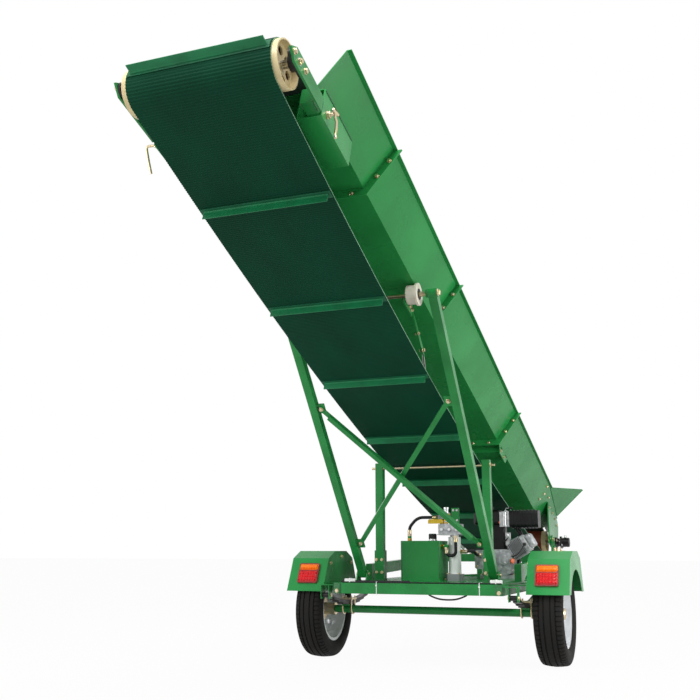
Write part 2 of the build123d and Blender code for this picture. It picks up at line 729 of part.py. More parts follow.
# Each length: name, upper end, lower end, depth of the pan flange at each end
trough_lengths = (("trough_head", TROUGH_END_S, TROUGH_JOINT_S[0], 0, FLANGE_DEPTH),
                  ("trough_upper", TROUGH_JOINT_S[0], TROUGH_JOINT_S[1], FLANGE_DEPTH, 0),
                  ("trough_middle", TROUGH_JOINT_S[1], TROUGH_JOINT_S[2], 0, FLANGE_DEPTH),
                  ("trough_lower", TROUGH_JOINT_S[2], WALL_FOOT_S, FLANGE_DEPTH, 0))
for name, upper_s, lower_s, upper_depth, lower_depth in trough_lengths:
    with BuildPart() as trough:
        with BuildSketch(across_boom(upper_s)):
            with BuildLine():
                Polyline((0, 0), (PAN_HALF, 0), (lip_x, lip_low), (lip_x + LIP_WIDTH, lip_low),
                         (lip_x + LIP_WIDTH, WALL_HEIGHT), (wall_x(WALL_HEIGHT) - wall_across, WALL_HEIGHT),
                         (wall_x(PAN_SHEET) - wall_across, PAN_SHEET), (0, PAN_SHEET), close=True)
            make_face()
            mirror(about=Plane.YZ)
        extrude(amount=upper_s - lower_s)
        ends = ((upper_s, -FLANGE_THICKNESS, upper_depth), (lower_s, FLANGE_THICKNESS, lower_depth))
        for end_s, step, depth in ends:
            if end_s in TROUGH_JOINT_S:
                with BuildSketch(across_boom(end_s)):
                    with BuildLine():
                        if depth:
                            Polyline((0, 0), (PAN_HALF, 0), (lip_x, lip_low),
                                     (lip_x + FLANGE_DEPTH, lip_low),
                                     (PAN_HALF + FLANGE_DEPTH, 0), (PAN_HALF + FLANGE_CORNER, -depth),
                                     (0, -depth),
                                     close=True)
                        else:
                            Polyline((wall_x(FLANGE_FOOT), FLANGE_FOOT), (lip_x, lip_low),
                                     (lip_x + FLANGE_DEPTH, lip_low),
                                     (wall_x(FLANGE_FOOT) + FLANGE_DEPTH, FLANGE_FOOT), close=True)
                    make_face()
                    mirror(about=Plane.YZ)
                extrude(amount=step)
        if lower_s == WALL_FOOT_S:
            # The floor stops short of the tail drum and the walls fall away under the hopper's wings
            with BuildSketch(across_boom(PAN_FOOT_S)):
                Rectangle(2 * lip_x, 2 * FLOOR_CUT)
            extrude(amount=PAN_FOOT_S - WALL_FOOT_S - PAN_SHEET, mode=Mode.SUBTRACT)
            with BuildSketch(along_boom(0)):
                with BuildLine():
                    Polyline((HOPPER_S, lip_low), (WALL_FOOT_S, wall_foot_n),
                             (WALL_FOOT_S + PAN_SHEET, wall_foot_n),
                             (WALL_FOOT_S + PAN_SHEET, 2 * WALL_HEIGHT),
                             (HOPPER_S, 2 * WALL_HEIGHT), close=True)
                make_face()
            extrude(amount=2 * lip_x, both=True, mode=Mode.SUBTRACT)
            # Cross channel and ears that stiffen the pan below the joint
            with BuildSketch(along_boom(-PAN_HALF)):
                with BuildLine():
                    front_s, back_s = CHANNEL_S
                    Polyline((front_s, 0), (front_s, -CHANNEL_DEPTH), (back_s, -CHANNEL_DEPTH), (back_s, 0),
                             (back_s - EAR_SHEET, 0), (back_s - EAR_SHEET, EAR_SHEET - CHANNEL_DEPTH),
                             (front_s + EAR_SHEET, EAR_SHEET - CHANNEL_DEPTH), (front_s + EAR_SHEET, 0),
                             close=True)
                make_face()
            extrude(amount=2 * PAN_HALF)
            for _, side in SIDES:
                with BuildSketch(along_boom(side * (PAN_HALF - EAR_SHEET))):
                    with BuildLine():
                        ear_start, ear_end = EAR_S
                        Polyline((ear_start, 0), (ear_start + EAR_DEPTH / 2, -EAR_DEPTH),
                                 (ear_end - EAR_DEPTH, -EAR_DEPTH), (ear_end, 0), close=True)
                    make_face()
                extrude(amount=side * EAR_SHEET)
    export(trough, name)

# Hopper: flared three-cornered wings along the falling walls and a front wall behind the belt's foot
wing_rear = boom_point(lip_x, HOPPER_S, lip_low)
wing_foot = boom_point(wall_x(HOPPER_FOOT), HOPPER_FRONT_S, HOPPER_FOOT)
wing_tip = boom_point(HOPPER_HALF, HOPPER_FRONT_S, HOPPER_RISE)
wing_reach = 1 + PAN_SHEET / (HOPPER_FRONT_S - HOPPER_S)
wing_edge = (wing_foot - wing_rear) * wing_reach
wing_span = (wing_tip - wing_rear) * wing_reach
wing_plane = Plane(origin=wing_rear, x_dir=wing_edge, z_dir=wing_span.cross(wing_edge))
with BuildPart() as hopper:
    with BuildSketch(wing_plane):
        with BuildLine():
            foot_x = wing_edge.length
            tip_x = wing_span.dot(wing_plane.x_dir)
            tip_y = wing_span.dot(wing_plane.y_dir)
            Polyline((0, 0), (foot_x, 0), (tip_x, tip_y), close=True)
        make_face()
    extrude(amount=-PAN_SHEET)
    with BuildSketch(across_boom(HOPPER_FRONT_S)):
        with BuildLine():
            inset = wall_across + RUNNING_GAP
            Polyline((0, FRONT_WALL_LOW), (wall_x(FRONT_WALL_LOW) - inset, FRONT_WALL_LOW),
                     (wall_x(HOPPER_FOOT) - inset, HOPPER_FOOT),
                     (wall_x(HOPPER_FOOT) + 2 * PAN_SHEET, HOPPER_FOOT),
                     (HOPPER_HALF + 2 * PAN_SHEET, HOPPER_RISE), (0, HOPPER_RISE), close=True)
        make_face()
    extrude(amount=-PAN_SHEET)
    mirror(about=Plane.YZ)
export(hopper, "hopper")

# Belt: one loop over both drums with its sagging return run and its cleats
belt_in = DRUM_RADIUS + RUNNING_GAP
belt_out = belt_in + BELT_THICKNESS
centre_n = PAN_SHEET + RUNNING_GAP - belt_in
half_span = (TAIL_S - HEAD_S) / 2
middle_s = (TAIL_S + HEAD_S) / 2
leave = 2 * atan(BELT_SAG / half_span)


def belt_outline(radius, sag_n):
    """Closed loop of the belt at this drum radius, drawn on the boom's side plane."""
    dip = radius * sin(leave)
    low_n = centre_n - radius * cos(leave)
    Line((HEAD_S, centre_n + radius), (TAIL_S, centre_n + radius))
    ThreePointArc((TAIL_S, centre_n + radius), (TAIL_S + radius, centre_n), (TAIL_S + dip, low_n))
    ThreePointArc((TAIL_S + dip, low_n), (middle_s, sag_n), (HEAD_S - dip, low_n))
    ThreePointArc((HEAD_S - dip, low_n), (HEAD_S - radius, centre_n), (HEAD_S, centre_n + radius))


return_low = centre_n - belt_in - BELT_SAG
sag_radius = (half_span ** 2 + BELT_SAG ** 2) / (2 * BELT_SAG)
loop_length = 2 * (TAIL_S - HEAD_S) + 2 * pi * belt_out
pitch = loop_length / CLEAT_COUNT
quarter = belt_out * pi / 2
with BuildPart() as belt:
    with BuildSketch(along_boom(-belt_half)):
        with BuildLine():
            belt_outline(belt_out, return_low - BELT_THICKNESS)
        make_face()
    extrude(amount=2 * belt_half)
    with BuildSketch(along_boom(-belt_half)):
        with BuildLine():
            belt_outline(belt_in, return_low)
        make_face()
    extrude(amount=2 * belt_half, mode=Mode.SUBTRACT)
    with BuildSketch(along_boom(-belt_half)):
        with Locations((HEAD_S - belt_out, centre_n)):
            Rectangle(2 * CLEAT_HEIGHT, CLEAT_WEB)
        for cleat in range(1, CLEAT_COUNT // 2):
            cleat_s = HEAD_S + pitch * cleat - quarter
            with Locations((cleat_s, centre_n + belt_out)):
                Rectangle(CLEAT_WEB, 2 * CLEAT_HEIGHT)
                Rectangle(CLEAT_BASE, 2 * CLEAT_BASE_THICKNESS)
            swing = asin((cleat_s - middle_s) / sag_radius)
            cleat_n = return_low - BELT_THICKNESS + sag_radius * (1 - cos(swing))
            with Locations(Location((cleat_s, cleat_n, 0), (0, 0, degrees(swing)))):
                Rectangle(CLEAT_WEB, 2 * CLEAT_HEIGHT)
                Rectangle(CLEAT_BASE, 2 * CLEAT_BASE_THICKNESS)
        with BuildLine():
            belt_outline(belt_in, return_low)
        make_face(mode=Mode.SUBTRACT)
    extrude(amount=2 * belt_half)
export(belt, "belt")

# Belt drums: tubes closed by recessed discs with round holes, on plain shafts in flange bearings
# Each drum: place along the boom, inner face of the bearings, shaft's end
take_up_x = PAN_HALF + TAKE_UP_OUTSET
bracket_x = PAN_HALF + BRACKET_OUTSET
bracket_out = bracket_x + PIVOT_PLATE
tail_reach = bracket_out + BEARING_DEPTH + SHAFT_END
drum_places = ((HEAD_S, take_up_x - BEARING_DEPTH, take_up_x + HEAD_PLATE - RUNNING_GAP),
               (TAIL_S, bracket_out, tail_reach))
drum_half = belt_half + DRUM_OVERHANG
with BuildPart() as drums:
    for drum_s, _, _ in drum_places:
        with BuildSketch(along_boom(-drum_half)):
            with Locations((drum_s, centre_n)):
                Circle(DRUM_RADIUS)
                Circle(DRUM_RADIUS - DRUM_WALL, mode=Mode.SUBTRACT)
        extrude(amount=2 * drum_half)
        for _, side in SIDES:
            with BuildSketch(along_boom(side * (drum_half - DRUM_DISC_INSET))):
                with Locations((drum_s, centre_n)):
                    Circle(DRUM_RADIUS - DRUM_WALL / 2)
                    Circle(SHAFT_RADIUS + RUNNING_GAP, mode=Mode.SUBTRACT)
                    with PolarLocations(DRUM_HOLE_CIRCLE, DRUM_DISC_HOLES):
                        Circle(DRUM_HOLE_RADIUS, mode=Mode.SUBTRACT)
            extrude(amount=-side * DRUM_DISC)
export(drums, "belt_drums")

with BuildPart() as shafts:
    for drum_s, _, shaft_reach in drum_places:
        with BuildSketch(along_boom(-shaft_reach)):
            with Locations((drum_s, centre_n)):
                Circle(SHAFT_RADIUS)
        extrude(amount=2 * shaft_reach)
export(shafts, "drum_shafts")

with BuildPart() as bearings:
    for drum_s, bearing_x, _ in drum_places:
        # The head's bearings sit inside the pointed plates, the tail's outside the brackets
        back_x = take_up_x if drum_s == HEAD_S else bearing_x
        step = -1 if drum_s == HEAD_S else 1
        for _, side in SIDES:
            for depth in (BEARING_FLANGE, BEARING_DEPTH):
                with BuildSketch(along_boom(side * back_x)):
                    with Locations((drum_s, centre_n)):
                        if depth == BEARING_FLANGE:
                            SlotOverall(BEARING_LENGTH, BEARING_WIDTH)
                        else:
                            Circle(BEARING_BOSS_RADIUS)
                        Circle(SHAFT_RADIUS + RUNNING_GAP, mode=Mode.SUBTRACT)
                extrude(amount=side * step * depth)
export(bearings, "drum_bearings")

# Head: telescoping take-ups that tension the belt, with the drum between their pointed plates
tube_tip_s = HEAD_S + TUBE_TIP
housing_end_s = TROUGH_END_S + HOUSING_LENGTH
tube_x = take_up_x - TUBE_WIDTH / 2
housing_out = take_up_x + HOUSING_SHEET + RUNNING_GAP
housing_low = centre_n - TUBE_HEIGHT / 2 - HOUSING_SHEET - RUNNING_GAP
with BuildPart() as take_up_tubes:
    for _, side in SIDES:
        with BuildSketch(across_boom(tube_tip_s)):
            with Locations((side * tube_x, centre_n)):
                RectangleRounded(TUBE_WIDTH, TUBE_HEIGHT, TUBE_RADIUS)
        extrude(amount=tube_tip_s - housing_end_s + HOUSING_SHEET)
        with BuildSketch(along_boom(side * take_up_x)):
            with BuildLine():
                Polyline((HEAD_S - HEAD_PLATE_TIP, centre_n),
                         (HEAD_S - HEAD_PLATE_HALF, centre_n + HEAD_PLATE_HALF),
                         (TROUGH_END_S - HEAD_PLATE, centre_n + HEAD_PLATE_HALF),
                         (TROUGH_END_S - HEAD_PLATE, centre_n - HEAD_PLATE_HALF),
                         (HEAD_S - HEAD_PLATE_HALF, centre_n - HEAD_PLATE_HALF), close=True)
            make_face()
            with Locations((HEAD_S, centre_n)):
                Circle(SHAFT_RADIUS + RUNNING_GAP, mode=Mode.SUBTRACT)
        extrude(amount=side * HEAD_PLATE)
export(take_up_tubes, "take_up_tubes")

with BuildPart() as take_up_housings:
    for _, side in SIDES:
        inner_x = housing_out - HOUSING_WIDTH
        with BuildSketch(across_boom(TROUGH_END_S)):
            with BuildLine():
                Polyline((side * inner_x, 0), (side * inner_x, housing_low),
                         (side * housing_out, housing_low),
                         (side * housing_out, 0), (side * (housing_out - HOUSING_SHEET), 0),
                         (side * (housing_out - HOUSING_SHEET), housing_low + HOUSING_SHEET),
                         (side * (inner_x + HOUSING_SHEET), housing_low + HOUSING_SHEET),
                         (side * (inner_x + HOUSING_SHEET), 0), close=True)
            make_face()
        extrude(amount=-HOUSING_LENGTH)
        with BuildSketch(across_boom(TROUGH_END_S)):
            with BuildLine():
                Polyline((side * PAN_HALF, 0), (side * housing_out, 0), (side * housing_out, PAN_SHEET),
                         (side * wall_x(PAN_SHEET), PAN_SHEET), close=True)
            make_face()
        extrude(amount=-HOUSING_LENGTH)
export(take_up_housings, "take_up_housings")

lock_s = TROUGH_END_S + LOCK_PLACE
lock_x = housing_out + LOCK_REACH
with BuildPart() as take_up_locks:
    for _, side in SIDES:
        for radius, hexagon, length in ((LOCK_NUT, True, LOCK_NUT),
                                        (LOCK_BOLT, False, LOCK_REACH + LOCK_BOLT)):
            with BuildSketch(along_boom(side * housing_out)):
                with Locations((lock_s, centre_n)):
                    if hexagon:
                        RegularPolygon(radius, HEX_CORNERS)
                    else:
                        Circle(radius)
            extrude(amount=side * length)
        lock_point = boom_point(side * lock_x, lock_s, centre_n)
        with BuildLine(side_plane(side * lock_x)) as handle_path:
            top = (lock_point.Y, lock_point.Z + LOCK_NUT)
            bend = (lock_point.Y + LOCK_NUT, lock_point.Z - LOCK_DROP / 2)
            ThreePointArc(top, bend, (lock_point.Y, lock_point.Z - LOCK_DROP))
        with BuildSketch(Plane(origin=handle_path.line @ 0, z_dir=handle_path.line % 0)):
            Circle(LOCK_HANDLE)
        sweep(path=handle_path.line)
export(take_up_locks, "take_up_locks")

# Foot of the boom: side brackets under the walls with the tail drum's bearings and the pivot bores
bracket_top = BRACKET_OUTSET / flare
bracket_rear, bracket_front = BRACKET_S
with BuildPart() as boom_brackets:
    for _, side in SIDES:
        with BuildSketch(along_boom(side * bracket_x)):
            with BuildLine():
                Polyline((bracket_rear, bracket_top), (bracket_rear, bracket_top - BRACKET_CORNER),
                         (PIVOT_S - BRACKET_BOSS, PIVOT_N - BRACKET_BOSS),
                         (PIVOT_S + BRACKET_BOSS, PIVOT_N - BRACKET_BOSS),
                         (TAIL_S - BRACKET_BOSS, centre_n - BRACKET_BOSS),
                         (TAIL_S + BRACKET_BOSS, centre_n - BRACKET_BOSS),
                         (bracket_front, centre_n), (bracket_front, wall_foot_n - BRACKET_CORNER),
                         (WALL_FOOT_S, bracket_top), close=True)
            make_face()
            with Locations((PIVOT_S, PIVOT_N)):
                Circle(PIVOT_PIN_RADIUS + RUNNING_GAP, mode=Mode.SUBTRACT)
            with Locations((TAIL_S, centre_n)):
                Circle(SHAFT_RADIUS + RUNNING_GAP, mode=Mode.SUBTRACT)
        extrude(amount=side * PIVOT_PLATE)
export(boom_brackets, "boom_brackets")

# Hydraulic motor on the right end of the tail shaft
port_length, port_width, port_height = MOTOR_PORT
with BuildPart() as belt_motor:
    with BuildSketch(along_boom(tail_reach + RUNNING_GAP)):
        with Locations((TAIL_S, centre_n)):
            RectangleRounded(MOTOR_FLANGE, MOTOR_FLANGE, MOTOR_FLANGE_DEPTH)
    extrude(amount=MOTOR_FLANGE_DEPTH)
    with BuildSketch(along_boom(tail_reach + RUNNING_GAP)):
        with Locations((TAIL_S, centre_n)):
            Circle(MOTOR_RADIUS)
    extrude(amount=MOTOR_LENGTH)
    with BuildSketch(along_boom(tail_reach + MOTOR_FLANGE_DEPTH)):
        with Locations((TAIL_S, centre_n + MOTOR_RADIUS)):
            Rectangle(port_length, port_width)
    extrude(amount=port_height)
export(belt_motor, "belt_motor")

# Uprights on the pivot beam that carry the boom's pins
upright_x = bracket_out + PIVOT_PLATE_GAP
with BuildPart() as pivot_brackets:
    for _, side in SIDES:
        with BuildSketch(side_plane(side * upright_x, pivot.Y)):
            with BuildLine():
                Line((-PIVOT_FOOT_HALF, pivot_beam_top), (-PIVOT_CROWN, pivot.Z))
                ThreePointArc((-PIVOT_CROWN, pivot.Z), (0, pivot.Z + PIVOT_CROWN), (PIVOT_CROWN, pivot.Z))
                Polyline((PIVOT_CROWN, pivot.Z), (PIVOT_FOOT_HALF, pivot_beam_top),
                         (-PIVOT_FOOT_HALF, pivot_beam_top))
            make_face()
            with Locations((0, pivot.Z)):
                Circle(PIVOT_PIN_RADIUS + RUNNING_GAP, mode=Mode.SUBTRACT)
        extrude(amount=side * PIVOT_PLATE)
        with BuildSketch(Plane.XZ.offset(-pivot.Y)):
            with BuildLine():
                near = upright_x + PIVOT_PLATE
                Polyline((side * near, pivot_beam_top), (side * (near + GUSSET), pivot_beam_top),
                         (side * near, pivot.Z - GUSSET), close=True)
            make_face()
        extrude(amount=PIVOT_PLATE / 2, both=True)
export(pivot_brackets, "pivot_brackets")

# Lifting legs: two tubes hinged at their feet, each with a cross sleeve at its top for the roller rod
leg_up = Vector(0, -sin(lean), cos(lean))
sleeve_inner = leg_x + LEG_SLEEVE_SHIFT - LEG_SLEEVE_LENGTH / 2
for side_name, side in SIDES:
    with BuildPart() as leg:
        face_plane = Plane(origin=(side * leg_x, FOOT_Y, FOOT_Z), x_dir=leg_up, z_dir=(1, 0, 0))
        with BuildSketch(face_plane):
            with Locations((leg_length / 2, 0)):
                SlotCenterToCenter(leg_length, LEG_TUBE)
        extrude(amount=LEG_TUBE / 2, both=True)
        with BuildSketch(Plane(origin=face_plane.origin + Vector(side * (sleeve_inner - leg_x), 0, 0),
                               x_dir=leg_up, z_dir=(1, 0, 0))):
            with Locations((leg_length, 0)):
                Circle(LEG_SLEEVE_RADIUS)
        extrude(amount=side * LEG_SLEEVE_LENGTH)
        with BuildSketch(face_plane):
            Circle(LEG_PIN_RADIUS + RUNNING_GAP)
            with Locations((leg_length, 0)):
                Circle(ROLLER_ROD_RADIUS + RUNNING_GAP)
        extrude(amount=LEG_SLEEVE_LENGTH, both=True, mode=Mode.SUBTRACT)
    export(leg, "leg_" + side_name)

# Lugs on the legs' inner sides, with a bolt through each brace's flattened end
lug_x = leg_x - LEG_TUBE / 2
brace_x = lug_x - BRACE_LUG_REACH / 2
with BuildPart() as collars:
    for _, side in SIDES:
        for place in BRACE_PLACES:
            with BuildSketch(leg_plane(-BRACE_LUG / 2)):
                with Locations((side * (lug_x - BRACE_LUG_REACH / 2), place)):
                    Rectangle(BRACE_LUG_REACH, BRACE_LUG_LENGTH)
            extrude(amount=BRACE_LUG)
    for face in (-1, 1):
        for side, place in ((-face, BRACE_PLACES[1]), (face, BRACE_PLACES[0])):
            with BuildSketch(leg_plane(face * BRACE_LUG / 2)):
                with Locations((side * brace_x, place)):
                    Circle(BRACE_BOLT_RADIUS)
            extrude(amount=face * (BRACE_TAB + BRACE_BOLT_RADIUS))
export(collars, "leg_collars")

brace_rise = BRACE_PLACES[1] - BRACE_PLACES[0]
brace_run = hypot(2 * brace_x, brace_rise)
brace_turn = degrees(atan2(brace_rise, 2 * brace_x))
brace_middle = (BRACE_PLACES[1] + BRACE_PLACES[0]) / 2
for brace_name, face in (("leg_brace_rear", 1), ("leg_brace_front", -1)):
    with BuildPart() as brace:
        turned = Location((0, brace_middle, 0), (0, 0, -face * brace_turn))
        with BuildSketch(leg_plane(face * (BRACE_LUG / 2 + RUNNING_GAP))):
            with Locations(turned):
                SlotCenterToCenter(brace_run, BRACE_TUBE)
                with Locations((-brace_run / 2, 0), (brace_run / 2, 0)):
                    Circle(BRACE_BOLT_RADIUS + RUNNING_GAP, mode=Mode.SUBTRACT)
        extrude(amount=face * BRACE_TAB)
        with BuildSketch(leg_plane(face * (BRACE_LUG / 2 + RUNNING_GAP))):
            with Locations(turned):
                Rectangle(brace_run - 2 * BRACE_TAB_LENGTH, BRACE_TUBE)
        extrude(amount=face * BRACE_TUBE)
    export(brace, brace_name)

# Roller rod with its spacers, and the flanged rollers under the pan's edges
rod_middle = Vector(0, FOOT_Y, FOOT_Z) + leg_up * leg_length
rod_half = leg_x + LEG_SLEEVE_SHIFT + LEG_SLEEVE_LENGTH / 2 + ROD_END
flange_x = PAN_HALF + ROLLER_OUTSET
with BuildPart() as roller_rod:
    with BuildSketch(side_plane(-rod_half)):
        with Locations((rod_middle.Y, rod_middle.Z)):
            Circle(ROLLER_ROD_RADIUS)
    extrude(amount=2 * rod_half)
    for _, side in SIDES:
        spacer_x = flange_x + ROLLER_FLANGE + RUNNING_GAP
        with BuildSketch(side_plane(side * spacer_x)):
            with Locations((rod_middle.Y, rod_middle.Z)):
                Circle(SPACER_RADIUS)
        extrude(amount=side * (sleeve_inner - RUNNING_GAP - spacer_x))
export(roller_rod, "roller_rod")

with BuildPart() as rollers:
    for _, side in SIDES:
        for from_x, to_x, radius in ((flange_x - ROLLER_WIDTH, flange_x, ROLLER_RADIUS),
                                     (flange_x, flange_x + ROLLER_FLANGE, ROLLER_FLANGE_RADIUS)):
            with BuildSketch(side_plane(side * from_x)):
                with Locations((rod_middle.Y, rod_middle.Z)):
                    Circle(radius)
                    Circle(ROLLER_ROD_RADIUS + RUNNING_GAP, mode=Mode.SUBTRACT)
            extrude(amount=side * (to_x - from_x))
export(rollers, "rollers")

# Leg feet: clevis lugs on the deck
with BuildPart() as leg_lugs:
    for _, side in SIDES:
        for cheek in (-1, 1):
            cheek_x = side * leg_x + cheek * (LEG_TUBE / 2 + LUG_GAP)
            with BuildSketch(side_plane(cheek_x, FOOT_Y)):
                with BuildLine():
                    Line((-LUG_FOOT_HALF, deck_top), (-LUG_CROWN, FOOT_Z))
                    ThreePointArc((-LUG_CROWN, FOOT_Z), (0, FOOT_Z + LUG_CROWN), (LUG_CROWN, FOOT_Z))
                    Polyline((LUG_CROWN, FOOT_Z), (LUG_FOOT_HALF, deck_top), (-LUG_FOOT_HALF, deck_top))
                make_face()
                with Locations((0, FOOT_Z)):
                    Circle(LEG_PIN_RADIUS + RUNNING_GAP, mode=Mode.SUBTRACT)
            extrude(amount=cheek * LUG_PLATE)
export(leg_lugs, "leg_lugs")

# Hinge pins of the boom and of the legs
pin_half = LEG_TUBE / 2 + LUG_GAP + LUG_PLATE + PIN_HEAD
with BuildPart() as hinge_pins:
    for _, side in SIDES:
        with BuildSketch(side_plane(side * (bracket_x - PIN_END))):
            with Locations((pivot.Y, pivot.Z)):
                Circle(PIVOT_PIN_RADIUS)
        extrude(amount=side * (2 * PIVOT_PLATE + PIVOT_PLATE_GAP + 2 * PIN_END))
        with BuildSketch(side_plane(side * leg_x)):
            with Locations((FOOT_Y, FOOT_Z)):
                Circle(LEG_PIN_RADIUS)
        extrude(amount=pin_half, both=True)
export(hinge_pins, "hinge_pins")

# Lift cylinder along the pan
cylinder_rear, cylinder_front = CYLINDER_S
with BuildPart() as lift_cylinder:
    for end_s, radius, length in ((cylinder_rear, CYLINDER_RADIUS, cylinder_front - cylinder_rear),
                                  (cylinder_rear, GLAND_RADIUS, GLAND_LENGTH)):
        with BuildSketch(across_boom(end_s)):
            with Locations((0, CYLINDER_N)):
                Circle(radius)
        extrude(amount=-length)
    for bracket_s in (cylinder_rear + CYLINDER_BRACKET_INSET, cylinder_front - CYLINDER_BRACKET_INSET):
        with BuildSketch(across_boom(bracket_s)):
            with BuildLine():
                Polyline((-CYLINDER_BRACKET_HALF, 0), (CYLINDER_BRACKET_HALF, 0),
                         (CYLINDER_RADIUS, CYLINDER_N),
                         (-CYLINDER_RADIUS, CYLINDER_N), close=True)
            make_face()
        extrude(amount=-CYLINDER_BRACKET)
    with BuildSketch(across_boom(cylinder_rear)):
        with Locations((0, CYLINDER_N)):
            Circle(LIFT_ROD_RADIUS + RUNNING_GAP)
    extrude(amount=cylinder_rear - cylinder_front + CYLINDER_BOTTOM, mode=Mode.SUBTRACT)
export(lift_cylinder, "lift_cylinder")

# Lift rod: crosshead with two tie rods to the three-cornered plates that draw the roller rod down the boom
roller_s = rod_middle.Y * cos(tilt) - (rod_middle.Z - boom_height) * sin(tilt)
roller_n = -ROLLER_RADIUS - ROLLER_GAP
yoke_rear, yoke_front = YOKE_TOP_S
link_tip_s = roller_s + ROLLER_ROD_RADIUS + LINK_CLEARANCE
with BuildPart() as lift_rod:
    with BuildSketch(across_boom(CROSSHEAD_S)):
        with Locations((0, CYLINDER_N)):
            Circle(LIFT_ROD_RADIUS)
    extrude(amount=CROSSHEAD_S - cylinder_rear - CYLINDER_BOTTOM - GLAND_LENGTH)
    with BuildSketch(across_boom(CROSSHEAD_S)):
        with Locations((0, CYLINDER_N)):
            Circle(CROSSHEAD_RADIUS)
    extrude(amount=-CROSSHEAD_LENGTH)
    for _, side in SIDES:
        with BuildSketch(along_boom(side * (YOKE_X - YOKE_PLATE / 2))):
            with BuildLine():
                Polyline((yoke_rear, YOKE_TOP_N), (yoke_front, YOKE_TOP_N),
                         (YOKE_APEX_S, YOKE_APEX_N + YOKE_WEB),
                         (YOKE_APEX_S, YOKE_APEX_N - YOKE_WEB),
                         (YOKE_APEX_S - 2 * YOKE_WEB, YOKE_APEX_N - YOKE_WEB),
                         close=True)
            make_face()
            with BuildLine():
                Polyline((yoke_rear + 2 * YOKE_WEB, YOKE_TOP_N - YOKE_WEB),
                         (yoke_front - YOKE_WEB, YOKE_TOP_N - YOKE_WEB),
                         (YOKE_APEX_S - YOKE_WINDOW_BACK, YOKE_APEX_N + 2 * YOKE_WEB), close=True)
            make_face(mode=Mode.SUBTRACT)
            with BuildLine():
                Polyline((link_tip_s, roller_n + LINK_HALF), (yoke_front, roller_n + LINK_HALF),
                         (yoke_front, roller_n - LINK_HALF), (link_tip_s, roller_n - LINK_HALF), close=True)
            make_face()
        extrude(amount=side * YOKE_PLATE)
        tie_start = boom_point(side * YOKE_X, YOKE_APEX_S - YOKE_WEB, YOKE_APEX_N)
        tie_end = boom_point(0, CROSSHEAD_S + CROSSHEAD_LENGTH / 2, CYLINDER_N)
        tie_run = tie_end - tie_start
        with BuildSketch(Plane(origin=tie_start, z_dir=tie_run)):
            Circle(TIE_RADIUS)
        extrude(amount=tie_run.length)
export(lift_rod, "lift_rod")

# Rest posts in bolted sleeves; the zinc rod across their tops lies just under the return run
post_x = rail_inner - POST_INSET
belt_under = return_low - BELT_THICKNESS
post_s = (POST_Y - belt_under * sin(tilt)) / cos(tilt)
rest_rod_z = boom_height - post_s * sin(tilt) + belt_under * cos(tilt) - REST_GAP - REST_ROD_RADIUS
post_top = rest_rod_z + POST_ABOVE_ROD
with BuildPart() as posts:
    for _, side in SIDES:
        for width, height in ((POST_TUBE, post_top - deck_top),
                              (POST_TUBE + 2 * SLEEVE_WALL, SLEEVE_HEIGHT)):
            with BuildSketch(Plane.XY.offset(deck_top)):
                with Locations((side * post_x, POST_Y)):
                    Rectangle(width, width)
            extrude(amount=height)
    with BuildSketch(Plane.YZ):
        with Locations((POST_Y, rest_rod_z)):
            Circle(REST_ROD_RADIUS + RUNNING_GAP)
    extrude(amount=post_x + POST_TUBE, both=True, mode=Mode.SUBTRACT)
export(posts, "rest_posts")

with BuildPart() as rest_rod:
    with BuildSketch(Plane.YZ):
        with Locations((POST_Y, rest_rod_z)):
            Circle(REST_ROD_RADIUS)
    extrude(amount=post_x + POST_TUBE / 2 + REST_ROD_END, both=True)
export(rest_rod, "rest_rod")

# Ball coupler at the front of the tongue
coupler_tip = tongue_front + COUPLER_REACH
ball_y = coupler_tip - COUPLER_RADIUS
with BuildPart() as coupler:
    with BuildSketch(Plane.XY.offset(frame_low + COUPLER_INSET)):
        with BuildLine():
            Polyline((-COUPLER_RADIUS, ball_y), (-TONGUE_WIDTH / 2, tongue_front),
                     (TONGUE_WIDTH / 2, tongue_front),
                     (COUPLER_RADIUS, ball_y))
            ThreePointArc((COUPLER_RADIUS, ball_y), (0, coupler_tip), (-COUPLER_RADIUS, ball_y))
        make_face()
    extrude(amount=BEAM_SIZE - 2 * COUPLER_INSET)
    fillet(coupler.faces().sort_by(Axis.Z)[-1].edges(), radius=COUPLER_ROUND)
    with Locations((0, ball_y, frame_low + BALL_DEPTH)):
        Sphere(BALL_RADIUS + RUNNING_GAP, mode=Mode.SUBTRACT)
    with BuildSketch(Plane.XY.offset(frame_low)):
        with Locations((0, ball_y)):
            Circle(BALL_RADIUS + RUNNING_GAP)
    extrude(amount=BALL_DEPTH, mode=Mode.SUBTRACT)
export(coupler, "coupler")

# Jack: fixed sleeve on the right rail's slanted side and its sliding leg with a foot
rail_slant = (rail_outer - APEX_HALF_WIDTH) / (APEX_Y - RAIL_BEND_Y)


def rail_side(y):
    """Outer face of the slanted right rail at y."""
    return APEX_HALF_WIDTH + rail_slant * (APEX_Y - y)


